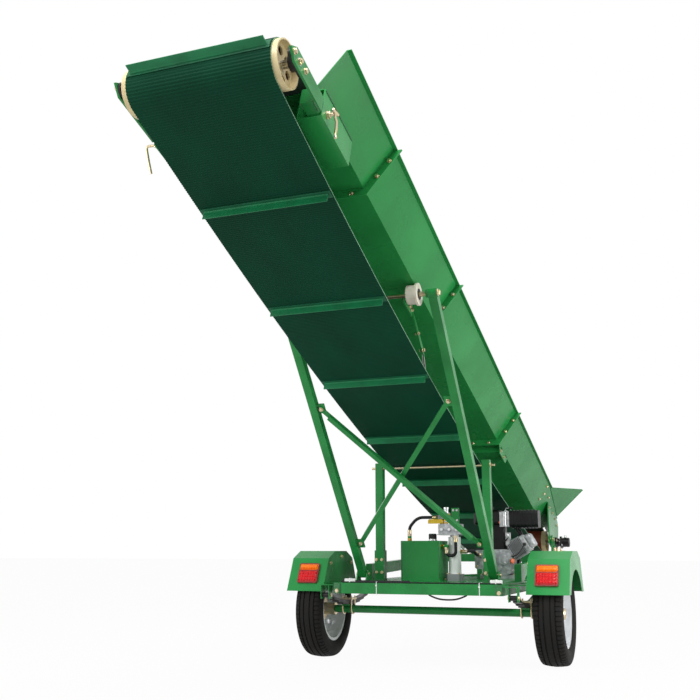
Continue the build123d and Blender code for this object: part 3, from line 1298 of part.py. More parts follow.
jack_x = rail_side(JACK_Y) + JACK_OUTSET
with BuildPart() as jack_sleeve:
    with BuildSketch(Plane.XY.offset(JACK_BOTTOM)):
        with Locations((jack_x, JACK_Y)):
            Circle(JACK_TUBE_RADIUS)
    extrude(amount=JACK_TOP - JACK_BOTTOM)
    with BuildSketch(Plane.XY.offset(frame_low)):
        with BuildLine():
            rear_y = JACK_Y - JACK_BRACKET / 2
            front_y = JACK_Y + JACK_BRACKET / 2
            Polyline((rail_side(rear_y), rear_y), (jack_x, JACK_Y - JACK_TUBE_RADIUS),
                     (jack_x, JACK_Y + JACK_TUBE_RADIUS), (rail_side(front_y), front_y), close=True)
        make_face()
    extrude(amount=BEAM_SIZE)
    with BuildSketch(Plane.XY.offset(JACK_BOTTOM)):
        with Locations((jack_x, JACK_Y)):
            Circle(JACK_LEG_RADIUS + RUNNING_GAP)
    extrude(amount=JACK_TOP - JACK_BOTTOM - JACK_CAP, mode=Mode.SUBTRACT)
export(jack_sleeve, "jack_sleeve")

with BuildPart() as jack_leg:
    for radius, height in ((JACK_FOOT_RADIUS, JACK_FOOT_THICKNESS),
                           (JACK_LEG_RADIUS, JACK_BOTTOM + JACK_LEG_INSIDE)):
        with BuildSketch(Plane.XY):
            with Locations((jack_x, JACK_Y)):
                Circle(radius)
        extrude(amount=height)
export(jack_leg, "jack_leg")

# Hydraulic tank on the deck, with its feet, breather and hose fittings
tank_left, tank_right = TANK_X
tank_rear, tank_front = TANK_Y
tank_x = (tank_left + tank_right) / 2
tank_y = (tank_rear + tank_front) / 2
tank_top = deck_top + TANK_HEIGHT
foot_width, foot_length, foot_height = TANK_FOOT
breather_radius, breather_height = BREATHER
elbow_x, elbow_y = ELBOW_PLACE
side_port_y, side_port_z = SIDE_PORT_PLACE
loop_x = tank_right + SIDE_PORT_LENGTH - FITTING_RADIUS
with BuildPart() as tank:
    with Locations((tank_x, tank_y, deck_top + TANK_HEIGHT / 2)):
        Box(tank_right - tank_left, tank_front - tank_rear, TANK_HEIGHT)
    fillet(tank.edges().filter_by(Axis.Z), radius=TANK_ROUND)
    with Locations((tank_left, tank_y, deck_top + foot_height / 2),
                   (tank_right, tank_y, deck_top + foot_height / 2)):
        Box(foot_width, foot_length, foot_height)
    with BuildSketch(Plane.XY.offset(tank_top)):
        with Locations(BREATHER_PLACE):
            Circle(breather_radius)
    extrude(amount=breather_height)
    with BuildSketch(Plane.XY.offset(tank_top)):
        with Locations(ELBOW_PLACE):
            RegularPolygon(FITTING_RADIUS, 6)
    extrude(amount=FITTING_LENGTH)
    with BuildSketch(side_plane(tank_right)):
        with Locations(SIDE_PORT_PLACE):
            RegularPolygon(FITTING_RADIUS, 6)
    extrude(amount=SIDE_PORT_LENGTH)
    with BuildSketch(Plane.XY.offset(side_port_z)):
        with Locations((loop_x, side_port_y)):
            Circle(PORT_NECK_RADIUS)
    extrude(amount=-PORT_NECK)
export(tank, "hydraulic_tank")

# Return filter: canister on its base, with a neck under the valve's shelf
base_width, base_length, base_height = FILTER_BASE
filter_base_top = deck_top + base_height
with BuildPart() as filter_can:
    with Locations((FILTER_X, FILTER_Y, deck_top + base_height / 2)):
        Box(base_width, base_length, base_height)
    fillet(filter_can.edges().filter_by(Axis.Z), radius=base_height / 2)
    for radius, from_z, to_z in ((FILTER_RADIUS, filter_base_top, FILTER_TOP),
                                 (FILTER_RADIUS - FILTER_NECK, FILTER_TOP, FILTER_TOP + FILTER_NECK)):
        with BuildSketch(Plane.XY.offset(from_z)):
            with Locations((FILTER_X, FILTER_Y)):
                Circle(radius)
        extrude(amount=to_z - from_z)
    with BuildSketch(side_plane(FILTER_X)):
        with Locations((FILTER_Y, FILTER_PORT_Z)):
            RegularPolygon(FITTING_RADIUS, 6)
    extrude(amount=FILTER_RADIUS + FILTER_NECK)
export(filter_can, "return_filter")

# Valve on its shelf over the filter: block with ports, round relief body, knob and a bolted plate
shelf_width, shelf_length, shelf_height = SHELF
shelf_low = FILTER_TOP + FILTER_NECK
shelf_top = shelf_low + shelf_height
block_width, block_length, block_height = VALVE_BLOCK
body_radius, body_height = VALVE_BODY
knob_radius, knob_height = VALVE_KNOB
plate_width, plate_sheet, plate_height = VALVE_PLATE
block_top = shelf_top + block_height
with BuildPart() as valve:
    with Locations((SHELF_X, FILTER_Y, shelf_low + shelf_height / 2)):
        Box(shelf_width, shelf_length, shelf_height)
    with Locations((VALVE_X + block_width / 2 - shelf_height, FILTER_Y, shelf_top + block_height / 2)):
        Box(block_width, block_length, block_height)
    for radius, from_z, height in ((body_radius, block_top, body_height),
                                   (knob_radius, block_top + body_height, knob_height)):
        with BuildSketch(Plane.XY.offset(from_z)):
            with Locations((VALVE_BODY_X, FILTER_Y)):
                Circle(radius)
        extrude(amount=height)
    with Locations((VALVE_PLATE_X, FILTER_Y, block_top + plate_height / 2)):
        Box(plate_width, plate_sheet, plate_height)
    with BuildSketch(side_plane(VALVE_BODY_X)):
        with Locations((elbow_y, VALVE_PORT_Z)):
            RegularPolygon(FITTING_RADIUS, 6)
    extrude(amount=-FITTING_LENGTH - FITTING_RADIUS)
    with BuildSketch(Plane.XY.offset(shelf_low)):
        with Locations((SHELF_X + shelf_width / 2 - FITTING_RADIUS, side_port_y)):
            RegularPolygon(FITTING_RADIUS, 6)
    extrude(amount=-FITTING_RADIUS)
export(valve, "valve")

# Gear pump behind the engine on its bell housing
crank_z = deck_top + CRANK_RISE
pump_x = ENGINE_X + PUMP_SHIFT
case_width, case_length, case_height = CASE_SIZE
bell_front = ENGINE_Y - case_length / 2
pump_front = bell_front - BELL_LENGTH
pump_rear = pump_front - PUMP_LENGTH
with BuildPart() as pump:
    with BuildSketch(Plane.XZ.offset(-pump_rear)):
        with Locations((pump_x, crank_z)):
            RectangleRounded(*PUMP_SIZE, PUMP_ROUND)
    extrude(amount=-PUMP_LENGTH)
    with BuildSketch(Plane.XZ.offset(-pump_front)):
        with Locations((pump_x, crank_z)):
            Circle(BELL_RADIUS)
    extrude(amount=-BELL_LENGTH)
    with BuildSketch(Plane.XZ.offset(-pump_rear)):
        with Locations((pump_x, PUMP_PORT_Z)):
            RegularPolygon(FITTING_RADIUS, 6)
    extrude(amount=FITTING_LENGTH)
export(pump, "gear_pump")

# Hoses held between their fittings: runs joined by arcs as large as the runs allow
hose_end_x = VALVE_BODY_X - FITTING_LENGTH - FITTING_RADIUS
elbow_z = tank_top + FITTING_LENGTH
loop_top = side_port_z - PORT_NECK
loop_turn = loop_top - LOOP_LEAD
loop_end_x = SHELF_X + shelf_width / 2 - FITTING_RADIUS
loop_end_z = shelf_low - FITTING_RADIUS
corner_in, corner_down = LOOP_CORNER
filter_port_x = FILTER_X + FILTER_RADIUS + FILTER_NECK
lead_x = filter_port_x + PUMP_HOSE_LEAD
bend_x, bend_y, bend_z = PUMP_HOSE_BEND
pump_port_y = pump_rear - FITTING_LENGTH
hose_routes = (
    ("hose_tank_to_valve",
     ((elbow_x, elbow_y, elbow_z), (elbow_x, elbow_y, elbow_z + HOSE_RISE),
      (elbow_x + HOSE_SWEEP, elbow_y, VALVE_PORT_Z), (hose_end_x, elbow_y, VALVE_PORT_Z))),
    ("hose_filter_loop",
     ((loop_x, side_port_y, loop_top), (loop_x, side_port_y, loop_turn),
      (loop_x + corner_in, side_port_y, loop_turn - corner_down),
      (loop_end_x - corner_in, side_port_y, loop_turn - corner_down),
      (loop_end_x, side_port_y, loop_turn), (loop_end_x, side_port_y, loop_end_z))),
    ("hose_filter_to_pump",
     ((filter_port_x, FILTER_Y, FILTER_PORT_Z), (lead_x, FILTER_Y, FILTER_PORT_Z),
      (lead_x + bend_x, FILTER_Y + bend_y, FILTER_PORT_Z + bend_z),
      (pump_x, FILTER_Y + bend_y + PUMP_HOSE_RUN, FILTER_PORT_Z + bend_z),
      (pump_x, pump_port_y - PUMP_HOSE_END, PUMP_PORT_Z), (pump_x, pump_port_y, PUMP_PORT_Z))),
)
for name, route in hose_routes:
    points = [Vector(*point) for point in route]
    runs = [after - before for before, after in zip(points, points[1:])]
    turns = [first.get_angle(second) for first, second in zip(runs, runs[1:])]
    bends = []
    for first, second, turn in zip(runs, runs[1:], turns):
        bends.append(HOSE_BEND_SHARE * min(first.length, second.length) / tan(radians(turn / 2)))
    print(name, "turns", [round(turn) for turn in turns], "radii", [round(bend) for bend in bends])
    with BuildPart() as hose:
        with BuildLine() as hose_path:
            FilletPolyline(*points, radius=bends)
        with BuildSketch(Plane(origin=points[0], z_dir=runs[0])):
            Circle(HOSE_RADIUS)
        sweep(path=hose_path.line)
    export(hose, name)

# Engine crankcase with its side cover and feet
with BuildPart() as crankcase:
    with Locations((ENGINE_X, ENGINE_Y, deck_top + CASE_FOOT[2] + (case_height - CASE_FOOT[2]) / 2)):
        Box(case_width, case_length, case_height - CASE_FOOT[2])
    fillet(crankcase.edges().filter_by(Axis.Y), radius=CASE_ROUND)
    with Locations((ENGINE_X, ENGINE_Y, deck_top + CASE_FOOT[2] / 2)):
        Box(*CASE_FOOT)
    with BuildSketch(Plane.XZ.offset(-(ENGINE_Y - case_length / 2))):
        with Locations((ENGINE_X + case_width / 4, crank_z)):
            Circle(CASE_COVER_RADIUS / 2)
    extrude(amount=CASE_COVER)
export(crankcase, "engine_crankcase")

# Finned cylinder, leaning to the right, with its head block
bore_lean = radians(BORE_TILT)
bore_axis = Vector(cos(bore_lean), 0, sin(bore_lean))
bore_up = Vector(-sin(bore_lean), 0, cos(bore_lean))
bore_foot = Vector(ENGINE_X, ENGINE_Y, crank_z) + bore_axis * BORE_START


def bore_plane(distance):
    """Plane square to the engine's bore: x forward, normal along the bore."""
    return Plane(origin=bore_foot + bore_axis * distance, x_dir=(0, 1, 0), z_dir=bore_axis)


head_width, head_length, head_height = HEAD_BLOCK
with BuildPart() as cylinder:
    with BuildSketch(bore_plane(0)):
        Circle(BORE_RADIUS)
    extrude(amount=BORE_LENGTH)
    add(crankcase.part, mode=Mode.SUBTRACT)
    for fin in range(FIN_COUNT):
        with BuildSketch(bore_plane(FIN_START + FIN_PITCH * fin)):
            RectangleRounded(*FIN_SIZE, FIN_ROUND)
        extrude(amount=FIN_THICKNESS)
    with BuildSketch(bore_plane(BORE_LENGTH - head_height)):
        RectangleRounded(head_width, head_length, FIN_ROUND / 2)
    extrude(amount=head_height)
    add(crankcase.part, mode=Mode.SUBTRACT)
export(cylinder, "engine_cylinder")

# Rocker cover on its flange
with BuildPart() as rocker_cover:
    with BuildSketch(bore_plane(BORE_LENGTH + COVER_FLANGE)):
        RectangleRounded(*COVER_SIZE, COVER_ROUND)
    extrude(amount=COVER_DEPTH)
    fillet(rocker_cover.faces().sort_by(Axis.X)[-1].edges(), radius=COVER_EDGE)
    with BuildSketch(bore_plane(BORE_LENGTH)):
        RectangleRounded(*COVER_FLANGE_SIZE, COVER_ROUND)
    extrude(amount=COVER_FLANGE)
export(rocker_cover, "engine_rocker_cover")

# Fuel tank with its cap, on the shroud over the crankcase
shroud_width, shroud_length = SHROUD
cap_radius, cap_height = FUEL_CAP
tank_place_x, tank_place_y, tank_place_z = FUEL_TANK_PLACE
fuel_low = tank_place_z - FUEL_TANK[2] / 2
case_top = deck_top + case_height
with BuildPart() as fuel_tank:
    with Locations(FUEL_TANK_PLACE):
        Box(*FUEL_TANK)
    fillet(fuel_tank.edges(), radius=FUEL_TANK_ROUND)
    with BuildSketch(Plane.XY.offset(tank_place_z + FUEL_TANK[2] / 2 - FUEL_TANK_ROUND)):
        with Locations((tank_place_x, tank_place_y)):
            Circle(cap_radius)
    extrude(amount=FUEL_TANK_ROUND + cap_height)
    with BuildSketch(Plane.XY.offset(case_top)):
        with Locations(SHROUD_PLACE):
            RectangleRounded(shroud_width, shroud_length, FIN_ROUND)
    extrude(amount=fuel_low + FUEL_TANK_ROUND - case_top)
export(fuel_tank, "engine_fuel_tank")

# Ribbed muffler with the exhaust pipe that stands on the cylinder head
with BuildPart() as muffler:
    with Locations(MUFFLER_PLACE):
        Box(*MUFFLER)
    fillet(muffler.edges().filter_by(Axis.X), radius=MUFFLER_ROUND)
    rib_step = MUFFLER[0] / (MUFFLER_RIBS + 1)
    for rib in range(MUFFLER_RIBS):
        rib_x = MUFFLER_PLACE[0] - MUFFLER[0] / 2 + rib_step * (rib + 1)
        with BuildSketch(side_plane(rib_x)):
            with Locations((MUFFLER_PLACE[1], MUFFLER_PLACE[2])):
                RectangleRounded(MUFFLER[1] + 2 * MUFFLER_RIB_HEIGHT, MUFFLER[2] + 2 * MUFFLER_RIB_HEIGHT,
                                 MUFFLER_ROUND)
        extrude(amount=MUFFLER_RIB / 2, both=True)
    port = bore_foot + bore_axis * (BORE_LENGTH - head_height / 2) + bore_up * (head_length / 2)
    with BuildSketch(Plane(origin=port, x_dir=(0, 1, 0), z_dir=bore_up)):
        Circle(PIPE_RADIUS)
    extrude(amount=PIPE_REACH)
export(muffler, "engine_muffler")

# Fan housing with its stepped starter cover and air slots
with BuildPart() as fan_housing:
    fan_plane = Plane(origin=(ENGINE_X, ENGINE_Y + case_length / 2, crank_z), x_dir=(1, 0, 0),
                      z_dir=(0, 1, 0))
    for radius, depth in ((FAN_RADIUS, FAN_DEPTH), (FAN_STEP_RADIUS, FAN_DEPTH + FAN_STEP)):
        with BuildSketch(fan_plane):
            Circle(radius)
        extrude(amount=depth)
    with BuildSketch(fan_plane.offset(FAN_DEPTH)):
        with PolarLocations(FAN_SLOT_CIRCLE, FAN_SLOTS):
            SlotOverall(FAN_SLOT[1], FAN_SLOT[0])
    extrude(amount=FAN_STEP, mode=Mode.SUBTRACT)
export(fan_housing, "engine_fan_housing")
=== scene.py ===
import json
from math import asin, atan, cos, pi, radians, sin, tau

import bmesh
import bpy
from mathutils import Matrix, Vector


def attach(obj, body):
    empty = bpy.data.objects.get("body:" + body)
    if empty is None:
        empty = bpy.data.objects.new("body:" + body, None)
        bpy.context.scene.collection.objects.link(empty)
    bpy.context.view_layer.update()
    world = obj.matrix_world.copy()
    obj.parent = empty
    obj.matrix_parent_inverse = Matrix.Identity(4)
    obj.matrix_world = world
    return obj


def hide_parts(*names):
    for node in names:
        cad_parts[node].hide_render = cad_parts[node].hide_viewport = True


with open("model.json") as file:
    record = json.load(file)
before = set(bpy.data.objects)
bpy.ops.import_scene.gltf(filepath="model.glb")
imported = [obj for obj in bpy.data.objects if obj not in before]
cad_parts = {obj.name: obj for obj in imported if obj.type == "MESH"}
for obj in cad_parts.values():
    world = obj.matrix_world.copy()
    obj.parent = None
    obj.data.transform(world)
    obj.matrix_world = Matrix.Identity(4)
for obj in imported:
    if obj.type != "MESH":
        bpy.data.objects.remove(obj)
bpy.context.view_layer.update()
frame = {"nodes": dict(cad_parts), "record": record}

# Lengths are in millimetres, as in the part's source, and become metres where a piece's mesh is made.
# Only the free cord and the stage are written in metres.
MM = 0.001
nodes = frame["nodes"]
scene = bpy.context.scene
scene.view_settings.view_transform = "Standard"


def colour(code):
    """Linear RGBA of an sRGB hex value."""
    parts = [int(code[i:i + 2], 16) / 255 for i in (1, 3, 5)]
    return [c / 12.92 if c <= 0.04045 else ((c + 0.055) / 1.055) ** 2.4 for c in parts] + [1.0]


def add_object(name, data):
    """An object in the scene for a mesh, curve, light or camera."""
    made = bpy.data.objects.new(name, data)
    scene.collection.objects.link(made)
    return made


# Finishes

MIX_FACTOR, MIX_FIRST, MIX_SECOND, MIX_COLOUR = 0, 6, 7, 2
PATCH_FROM, PATCH_TO = 0.32, 0.68
PATCH_DETAIL, GRAIN_DETAIL = 5.0, 3.0
REPAINT_PATCH, REPAINT_DETAIL = 60, 4.0


def add_node(owner, kind, inputs=None, **settings):
    """Adds a node with its settings; inputs maps a socket to a value or to another node's output."""
    node = owner.node_tree.nodes.new(kind)
    for name, value in settings.items():
        setattr(node, name, value)
    for socket, value in (inputs or {}).items():
        if isinstance(value, bpy.types.NodeSocket):
            owner.node_tree.links.new(value, node.inputs[socket])
        else:
            node.inputs[socket].default_value = value
    return node


def maths(owner, operation, first, second=0.0):
    """The output of a math node."""
    return add_node(owner, "ShaderNodeMath", {0: first, 1: second}, operation=operation).outputs[0]


def mixed(owner, factor, first, second):
    """The output of a node that mixes two colours."""
    return add_node(owner, "ShaderNodeMix", {MIX_FACTOR: factor, MIX_FIRST: first, MIX_SECOND: second},
                    data_type="RGBA").outputs[MIX_COLOUR]


def noise(owner, place, size, detail):
    """The output of a noise with patches of about the size given, in millimetres."""
    return add_node(owner, "ShaderNodeTexNoise",
                    {"Vector": place, "Scale": 1 / (size * MM), "Detail": detail}).outputs[0]


def surface(name, shades, patch, grain, relief, rough, swing=0.06, stretch=(1, 1, 1), specular=0.5, **more):
    """A finish that drifts between two shades in patches, with a grain in its surface; sizes in mm."""
    material = bpy.data.materials.new(name)
    material.use_nodes = True
    shader = material.node_tree.nodes["Principled BSDF"]
    shader.inputs["Specular IOR Level"].default_value = specular
    for socket, value in more.items():
        shader.inputs[socket.replace("_", " ")].default_value = value
    place = add_node(material, "ShaderNodeTexCoord").outputs["Object"]
    place = add_node(material, "ShaderNodeMapping", {"Vector": place, "Scale": stretch}).outputs["Vector"]
    patches = noise(material, place, patch, PATCH_DETAIL)
    drift = add_node(material, "ShaderNodeMapRange",
                     {"Value": patches, "From Min": PATCH_FROM, "From Max": PATCH_TO}).outputs[0]
    tint = mixed(material, drift, *map(colour, shades))
    gloss = add_node(material, "ShaderNodeMapRange",
                     {"Value": drift, "To Min": rough - swing, "To Max": rough + swing}).outputs[0]
    grains = noise(material, place, grain, GRAIN_DETAIL)
    bump = add_node(material, "ShaderNodeBump",
                    {"Height": grains, "Distance": relief * MM, "Strength": 1.0}).outputs[0]
    for output, socket in ((tint, "Base Color"), (gloss, "Roughness"), (bump, "Normal")):
        material.node_tree.links.new(output, shader.inputs[socket])
    return material


def repaint_where(material, axis, limits, shades):
    """Paints a finish anew between two distances from the middle along an axis, in millimetres."""
    links = material.node_tree.links
    shader = material.node_tree.nodes["Principled BSDF"]
    before = shader.inputs["Base Color"].links[0].from_socket
    place = add_node(material, "ShaderNodeTexCoord").outputs["Object"]
    split = add_node(material, "ShaderNodeSeparateXYZ", {0: place})
    distance = maths(material, "ABSOLUTE", split.outputs[axis])
    beyond = maths(material, "GREATER_THAN", distance, limits[0] * MM)
    within = maths(material, "LESS_THAN", distance, limits[1] * MM)
    inside = maths(material, "MULTIPLY", beyond, within)
    paint = mixed(material, noise(material, place, REPAINT_PATCH, REPAINT_DETAIL), *map(colour, shades))
    links.new(mixed(material, inside, before, paint), shader.inputs["Base Color"])
    if shader.inputs["Metallic"].default_value:
        links.new(maths(material, "SUBTRACT", 1.0, inside), shader.inputs["Metallic"])


# Each finish: its name, two shades, the sizes of its patches and of its grain, the grain's height, roughness.
TUBE_GREEN = ("#278a44", "#1f7639")
# Sprayed enamel on folded sheet: even and glossy, with slow waves in the sheet and a faint drift of colour.
# Its orange peel is about 2 mm and is drawn at 40 mm, so that it shows at this distance.
green_enamel = surface("green_enamel_sprayed", ("#2a9048", "#22803e"), 320, 40, 0.20, 0.26, specular=0.22)
# The same enamel on welded tube.
green_tube = surface("green_enamel_on_tube", TUBE_GREEN, 140, 16, 0.12, 0.28, specular=0.25)
# Welds are painted with the rest; their finish is rougher and a darker green than the sheet, in small random
# patches.
green_weld = surface("green_enamel_on_weld", ("#256f3c", "#1d5a30"), 9, 5, 0.5, 0.45)
# PVC conveyor belt, calendered: dull dark green with a slight bloom, drawn out along the belt.
belt_cover = surface("belt_pvc_ribbed", ("#0a3625", "#0d402d"), 260, 60, 0.05, 0.50, stretch=(1, 0.25, 1),
                     specular=0.05)
# The belt's cut edge shows its pale fabric plies; its inside is bare woven fabric.
belt_edge = surface("belt_cut_edge", ("#7fa58b", "#5f8a70"), 30, 4, 0.3, 0.75)
belt_fabric = surface("belt_fabric_inside", ("#2a3d35", "#36493f"), 60, 6, 0.4, 0.85)
# Cleats of the same PVC: blades painted lighter than the running face as a painted highlight, feet between
# the two, painted darker than the blades as painted shade.
cleat_pvc_painted_highlight = surface("cleat_pvc_extruded", ("#1a7a4b", "#146840"), 90, 20, 0.08, 0.36, specular=0.25)
cleat_foot_painted_shade = surface("cleat_foot_pvc_welded", ("#145c3c", "#114f34"), 90, 20, 0.08, 0.42, specular=0.2)
# Yellow-passivated zinc: silver with drifting straw and pink tints.
yellow_zinc = surface("zinc_yellow_passivated", ("#dccb98", "#c2b3a2"), 26, 6, 0.05, 0.34, Metallic=1.0)
# Bright zinc on hardware: cool and slightly cloudy.
bright_zinc = surface("zinc_bright", ("#dcdedd", "#b9bcbd"), 12, 5, 0.04, 0.30, Metallic=1.0)
# Ground steel of the shafts, its pattern drawn out along them.
ground_steel = surface("steel_ground", ("#b9b9b6", "#9b9a96"), 40, 5, 0.03, 0.28, stretch=(0.1, 1, 1),
                       Metallic=1.0)
# Lift rod: ground steel, with the yoke's plates out at its sides painted.
YOKE_PLATES = (244, 270)
rod_steel = surface("steel_ground_rod", ("#a9a9a6", "#8b8a86"), 40, 5, 0.03, 0.32, Metallic=1.0)
repaint_where(rod_steel, 0, YOKE_PLATES, TUBE_GREEN)
# Turned brass, left bare.
brass = surface("brass_turned", ("#c9a552", "#a9843a"), 15, 4, 0.03, 0.30, Metallic=1.0)
# Satin black enamel, and moulded black plastic: dusty soft sheen.
black_enamel = surface("black_enamel_satin", ("#0d0d0e", "#161617"), 70, 9, 0.12, 0.38, specular=0.3)
moulded_black = surface("black_plastic_moulded", ("#101011", "#18191a"), 40, 5, 0.15, 0.50, specular=0.35)
# Carcass rubber: dull near-black with a grey-brown dust bloom.
tyre_rubber = surface("tyre_rubber_cured", ("#141414", "#1e1c19"), 85, 10, 0.2, 0.8, swing=0.08, specular=0.2)
# Hose cover, wrapped while it cures: fine cloth marks.
hose_rubber = surface("hose_rubber_wrapped", ("#0c0d0e", "#141517"), 14, 3, 0.2, 0.55, specular=0.3)
# White wheel enamel under a thin clear gloss.
wheel_white = surface("wheel_enamel_white", ("#e4e7ea", "#d3d6d8"), 120, 14, 0.1, 0.28, Coat_Weight=0.3)
# Cast nylon of the rollers: creamy and a little translucent.
nylon = surface("nylon_cast", ("#ece8da", "#d8d1bd"), 35, 6, 0.1, 0.45, Subsurface_Weight=0.08)
# Sand-cast aluminium: light grey with a coarse pebbled skin.
cast_aluminium = surface("aluminium_sand_cast", ("#c3c6c8", "#8d9194"), 22, 6, 0.5, 0.42, Metallic=0.45)
# Aluminised steel sheet: clean and pale.
silver_sheet = surface("steel_aluminised_sheet", ("#c9cbcb", "#a7a9aa"), 30, 6, 0.06, 0.36, Metallic=1.0)
# Pressed fibre gasket: matt.
gasket_white = surface("gasket_fibre", ("#e9e8e2", "#cfcdc4"), 12, 3, 0.1, 0.8)
# Moulded plastics: satin.
signal_orange = surface("orange_plastic_moulded", ("#e8641c", "#d25312"), 18, 4, 0.08, 0.4)
signal_yellow = surface("yellow_plastic_moulded", ("#e9c62a", "#d2ab1a"), 18, 4, 0.08, 0.42)
connector_white = surface("connector_nylon_white", ("#eef0ee", "#d9dcda"), 14, 4, 0.08, 0.45)
# Acrylic lamp lenses: clear gloss over a strong tint, facets in the mesh; a duller moulded base.
lens_red = surface("lens_acrylic_red", ("#d8121c", "#c00a14"), 22, 6, 0.05, 0.16, swing=0.03, specular=0.4)
lens_amber = surface("lens_acrylic_amber", ("#ff8412", "#f06a06"), 22, 6, 0.05, 0.16, swing=0.03,
                     specular=0.4)
lamp_base = surface("lamp_base_red_plastic", ("#8e1a1e", "#6f1216"), 20, 5, 0.06, 0.35)
# Drums: cream enamel at their ends, red oxide primer left bare between them.
DRUM_PRIMED = (-1, 303)
drum_paint = surface("drum_enamel_cream", ("#d9c89b", "#c4b184"), 60, 8, 0.12, 0.42)
repaint_where(drum_paint, 0, DRUM_PRIMED, ("#8a3f2c", "#6d2f22"))
# Return filter: white enamelled can on a grey cast foot.
FILTER_FOOT = (0, 532)
filter_paint = surface("filter_enamel_white", ("#eceeed", "#dcdfde"), 70, 9, 0.08, 0.30, Coat_Weight=0.3)
repaint_where(filter_paint, 2, FILTER_FOOT, ("#8d9092", "#75797b"))

finishes = {"green_paint": green_enamel, "belt_rubber": belt_cover, "zinc": yellow_zinc, "nylon": nylon,
            "black_paint": black_enamel, "tyre_rubber": tyre_rubber, "wheel_white": wheel_white,
            "lamp_red": lens_red, "drum_cream": drum_paint, "cast_grey": cast_aluminium,
            "steel": ground_steel, "hose_rubber": hose_rubber, "filter_white": filter_paint}
tubes = ("frame axle leg_left leg_right leg_collars leg_brace_rear leg_brace_front rest_posts leg_lugs "
         "pivot_brackets spring_hangers fender_brackets take_up_tubes lift_cylinder").split()
for subpart in frame["record"]["subparts"]:
    node_mesh = nodes[subpart["node"]].data
    node_mesh.materials.clear()
    node_mesh.materials.append(green_tube if subpart["node"] in tubes else finishes[subpart["material_slot"]])
nodes["lift_rod"].data.materials[0] = rod_steel


# Mesh stock that the pieces are made from

ACROSS = Vector((1, 0, 0))
AHEAD = Vector((0, 1, 0))
UP = Vector((0, 0, 1))
BOTH = (-1, 1)
HEX = 6
CORNER_STEPS = 4
# Sizes of bolt heads and nuts across their flats
M6, M7, M8, M10_FLANGED, M10, M12 = 10, 11, 13, 15, 17, 19
# A bolt's washer and head: heights as shares of the flats, rims of the height, radii of the corner
WASHER_HIGH, WASHER_RIM, WASHER_WIDE, WASHER_TOP = 0.13, 0.7, 1.22, 1.14
HEAD_HIGH, HEAD_RIM, HEAD_TOP = 0.42, 0.78, 0.86
# A weld's thickness at its ends and between its scales, as shares of its leg
WELD_END, WELD_VALLEY, WELD_SIDES = 0.55, 0.84, 7


def square_axes(axis):
    """Two unit directions square to an axis and to each other."""
    helper = UP if abs(axis.z) < 0.9 else AHEAD
    side = axis.cross(helper).normalized()
    return side, axis.cross(side).normalized()


class Stock:
    """Faces gathered for one piece, so that a row of bolts or welds is one mesh."""

    def __init__(self):
        self.points, self.faces, self.slots = [], [], []

    def skin(self, rings, slot=0, loop=False, edge_slots=None):
        """Skins a run of equal rings; the end rings are closed unless the run is a loop."""
        size = len(rings[0])
        count = len(rings)
        first = len(self.points)
        for ring in rings:
            self.points.extend(Vector(point) for point in ring)
        for step in range(count if loop else count - 1):
            near = first + step * size
            far = first + (step + 1) % count * size
            for corner in range(size):
                after = (corner + 1) % size
                self.faces.append((near + corner, near + after, far + after, far + corner))
                self.slots.append(edge_slots[corner] if edge_slots else slot)
        if not loop:
            last = first + (count - 1) * size
            self.faces.append(tuple(reversed(range(first, first + size))))
            self.faces.append(tuple(range(last, last + size)))
            self.slots.extend((slot, slot))

    def turned(self, place, axis, profile, sides=20, slot=0):
        """A turned form: profile rows are (radius, height along the axis)."""
        axis = Vector(axis).normalized()
        side, up = square_axes(axis)
        turns = [tau * k / sides for k in range(sides)]
        self.skin([[Vector(place) + axis * height + (side * cos(t) + up * sin(t)) * radius for t in turns]
                   for radius, height in profile], slot)

    def tube(self, path, radii, sides=10, slot=0):
        """A round tube along a path, with one radius for all of it or one for each point."""
        path = [Vector(point) for point in path]
        last = len(path) - 1
        if not isinstance(radii, (list, tuple)):
            radii = [radii] * len(path)
        ahead = [(path[min(k + 1, last)] - path[max(k - 1, 0)]).normalized() for k in range(len(path))]
        turns = [tau * k / sides for k in range(sides)]
        side, up = square_axes(ahead[0])
        rings = []
        for point, radius, heading in zip(path, radii, ahead):
            side = (side - heading * side.dot(heading)).normalized()
            up = heading.cross(side)
            rings.append([point + (side * cos(t) + up * sin(t)) * radius for t in turns])
        self.skin(rings, slot)

    def plate(self, outline, thick, slot=0):
        """A flat plate from its outline, as thick as the vector given."""
        self.skin([outline, [Vector(point) + thick for point in outline]], slot)

    def piece(self, name, body, finish_list, crease=35, replaced=()):
        """Makes the mesh in metres, gives it its finishes and lets it ride on its body."""
        mesh = bpy.data.meshes.new(name)
        mesh.from_pydata([point * MM for point in self.points], [], self.faces)
        for material in finish_list:
            mesh.materials.append(material)
        mesh.polygons.foreach_set("material_index", self.slots)
        mesh.polygons.foreach_set("use_smooth", [True] * len(self.faces))
        shell = bmesh.new()
        shell.from_mesh(mesh)
        bmesh.ops.recalc_face_normals(shell, faces=shell.faces)
        shell.to_mesh(mesh)
        shell.free()
        mesh.set_sharp_from_angle(angle=radians(crease))
        made = add_object(name, mesh)
        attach(made, body)
        if replaced:
            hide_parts(*replaced)


def bolt(stock, place, axis, flats=M12, slot=0, washer=True):
    """A hex bolt head on its washer, standing on a face."""
    corner = flats / 2 / cos(pi / HEX)
    lift = 0.0
    if washer:
        lift = flats * WASHER_HIGH
        wide = corner * WASHER_WIDE
        rim, top = lift * WASHER_RIM, corner * WASHER_TOP
        stock.turned(place, axis, ((wide, 0), (wide, rim), (top, lift)), 18, slot)
    head = flats * HEAD_HIGH
    stock.turned(Vector(place) + axis.normalized() * lift, axis,
                 ((corner, 0), (corner, head * HEAD_RIM), (corner * HEAD_TOP, head)), HEX, slot)


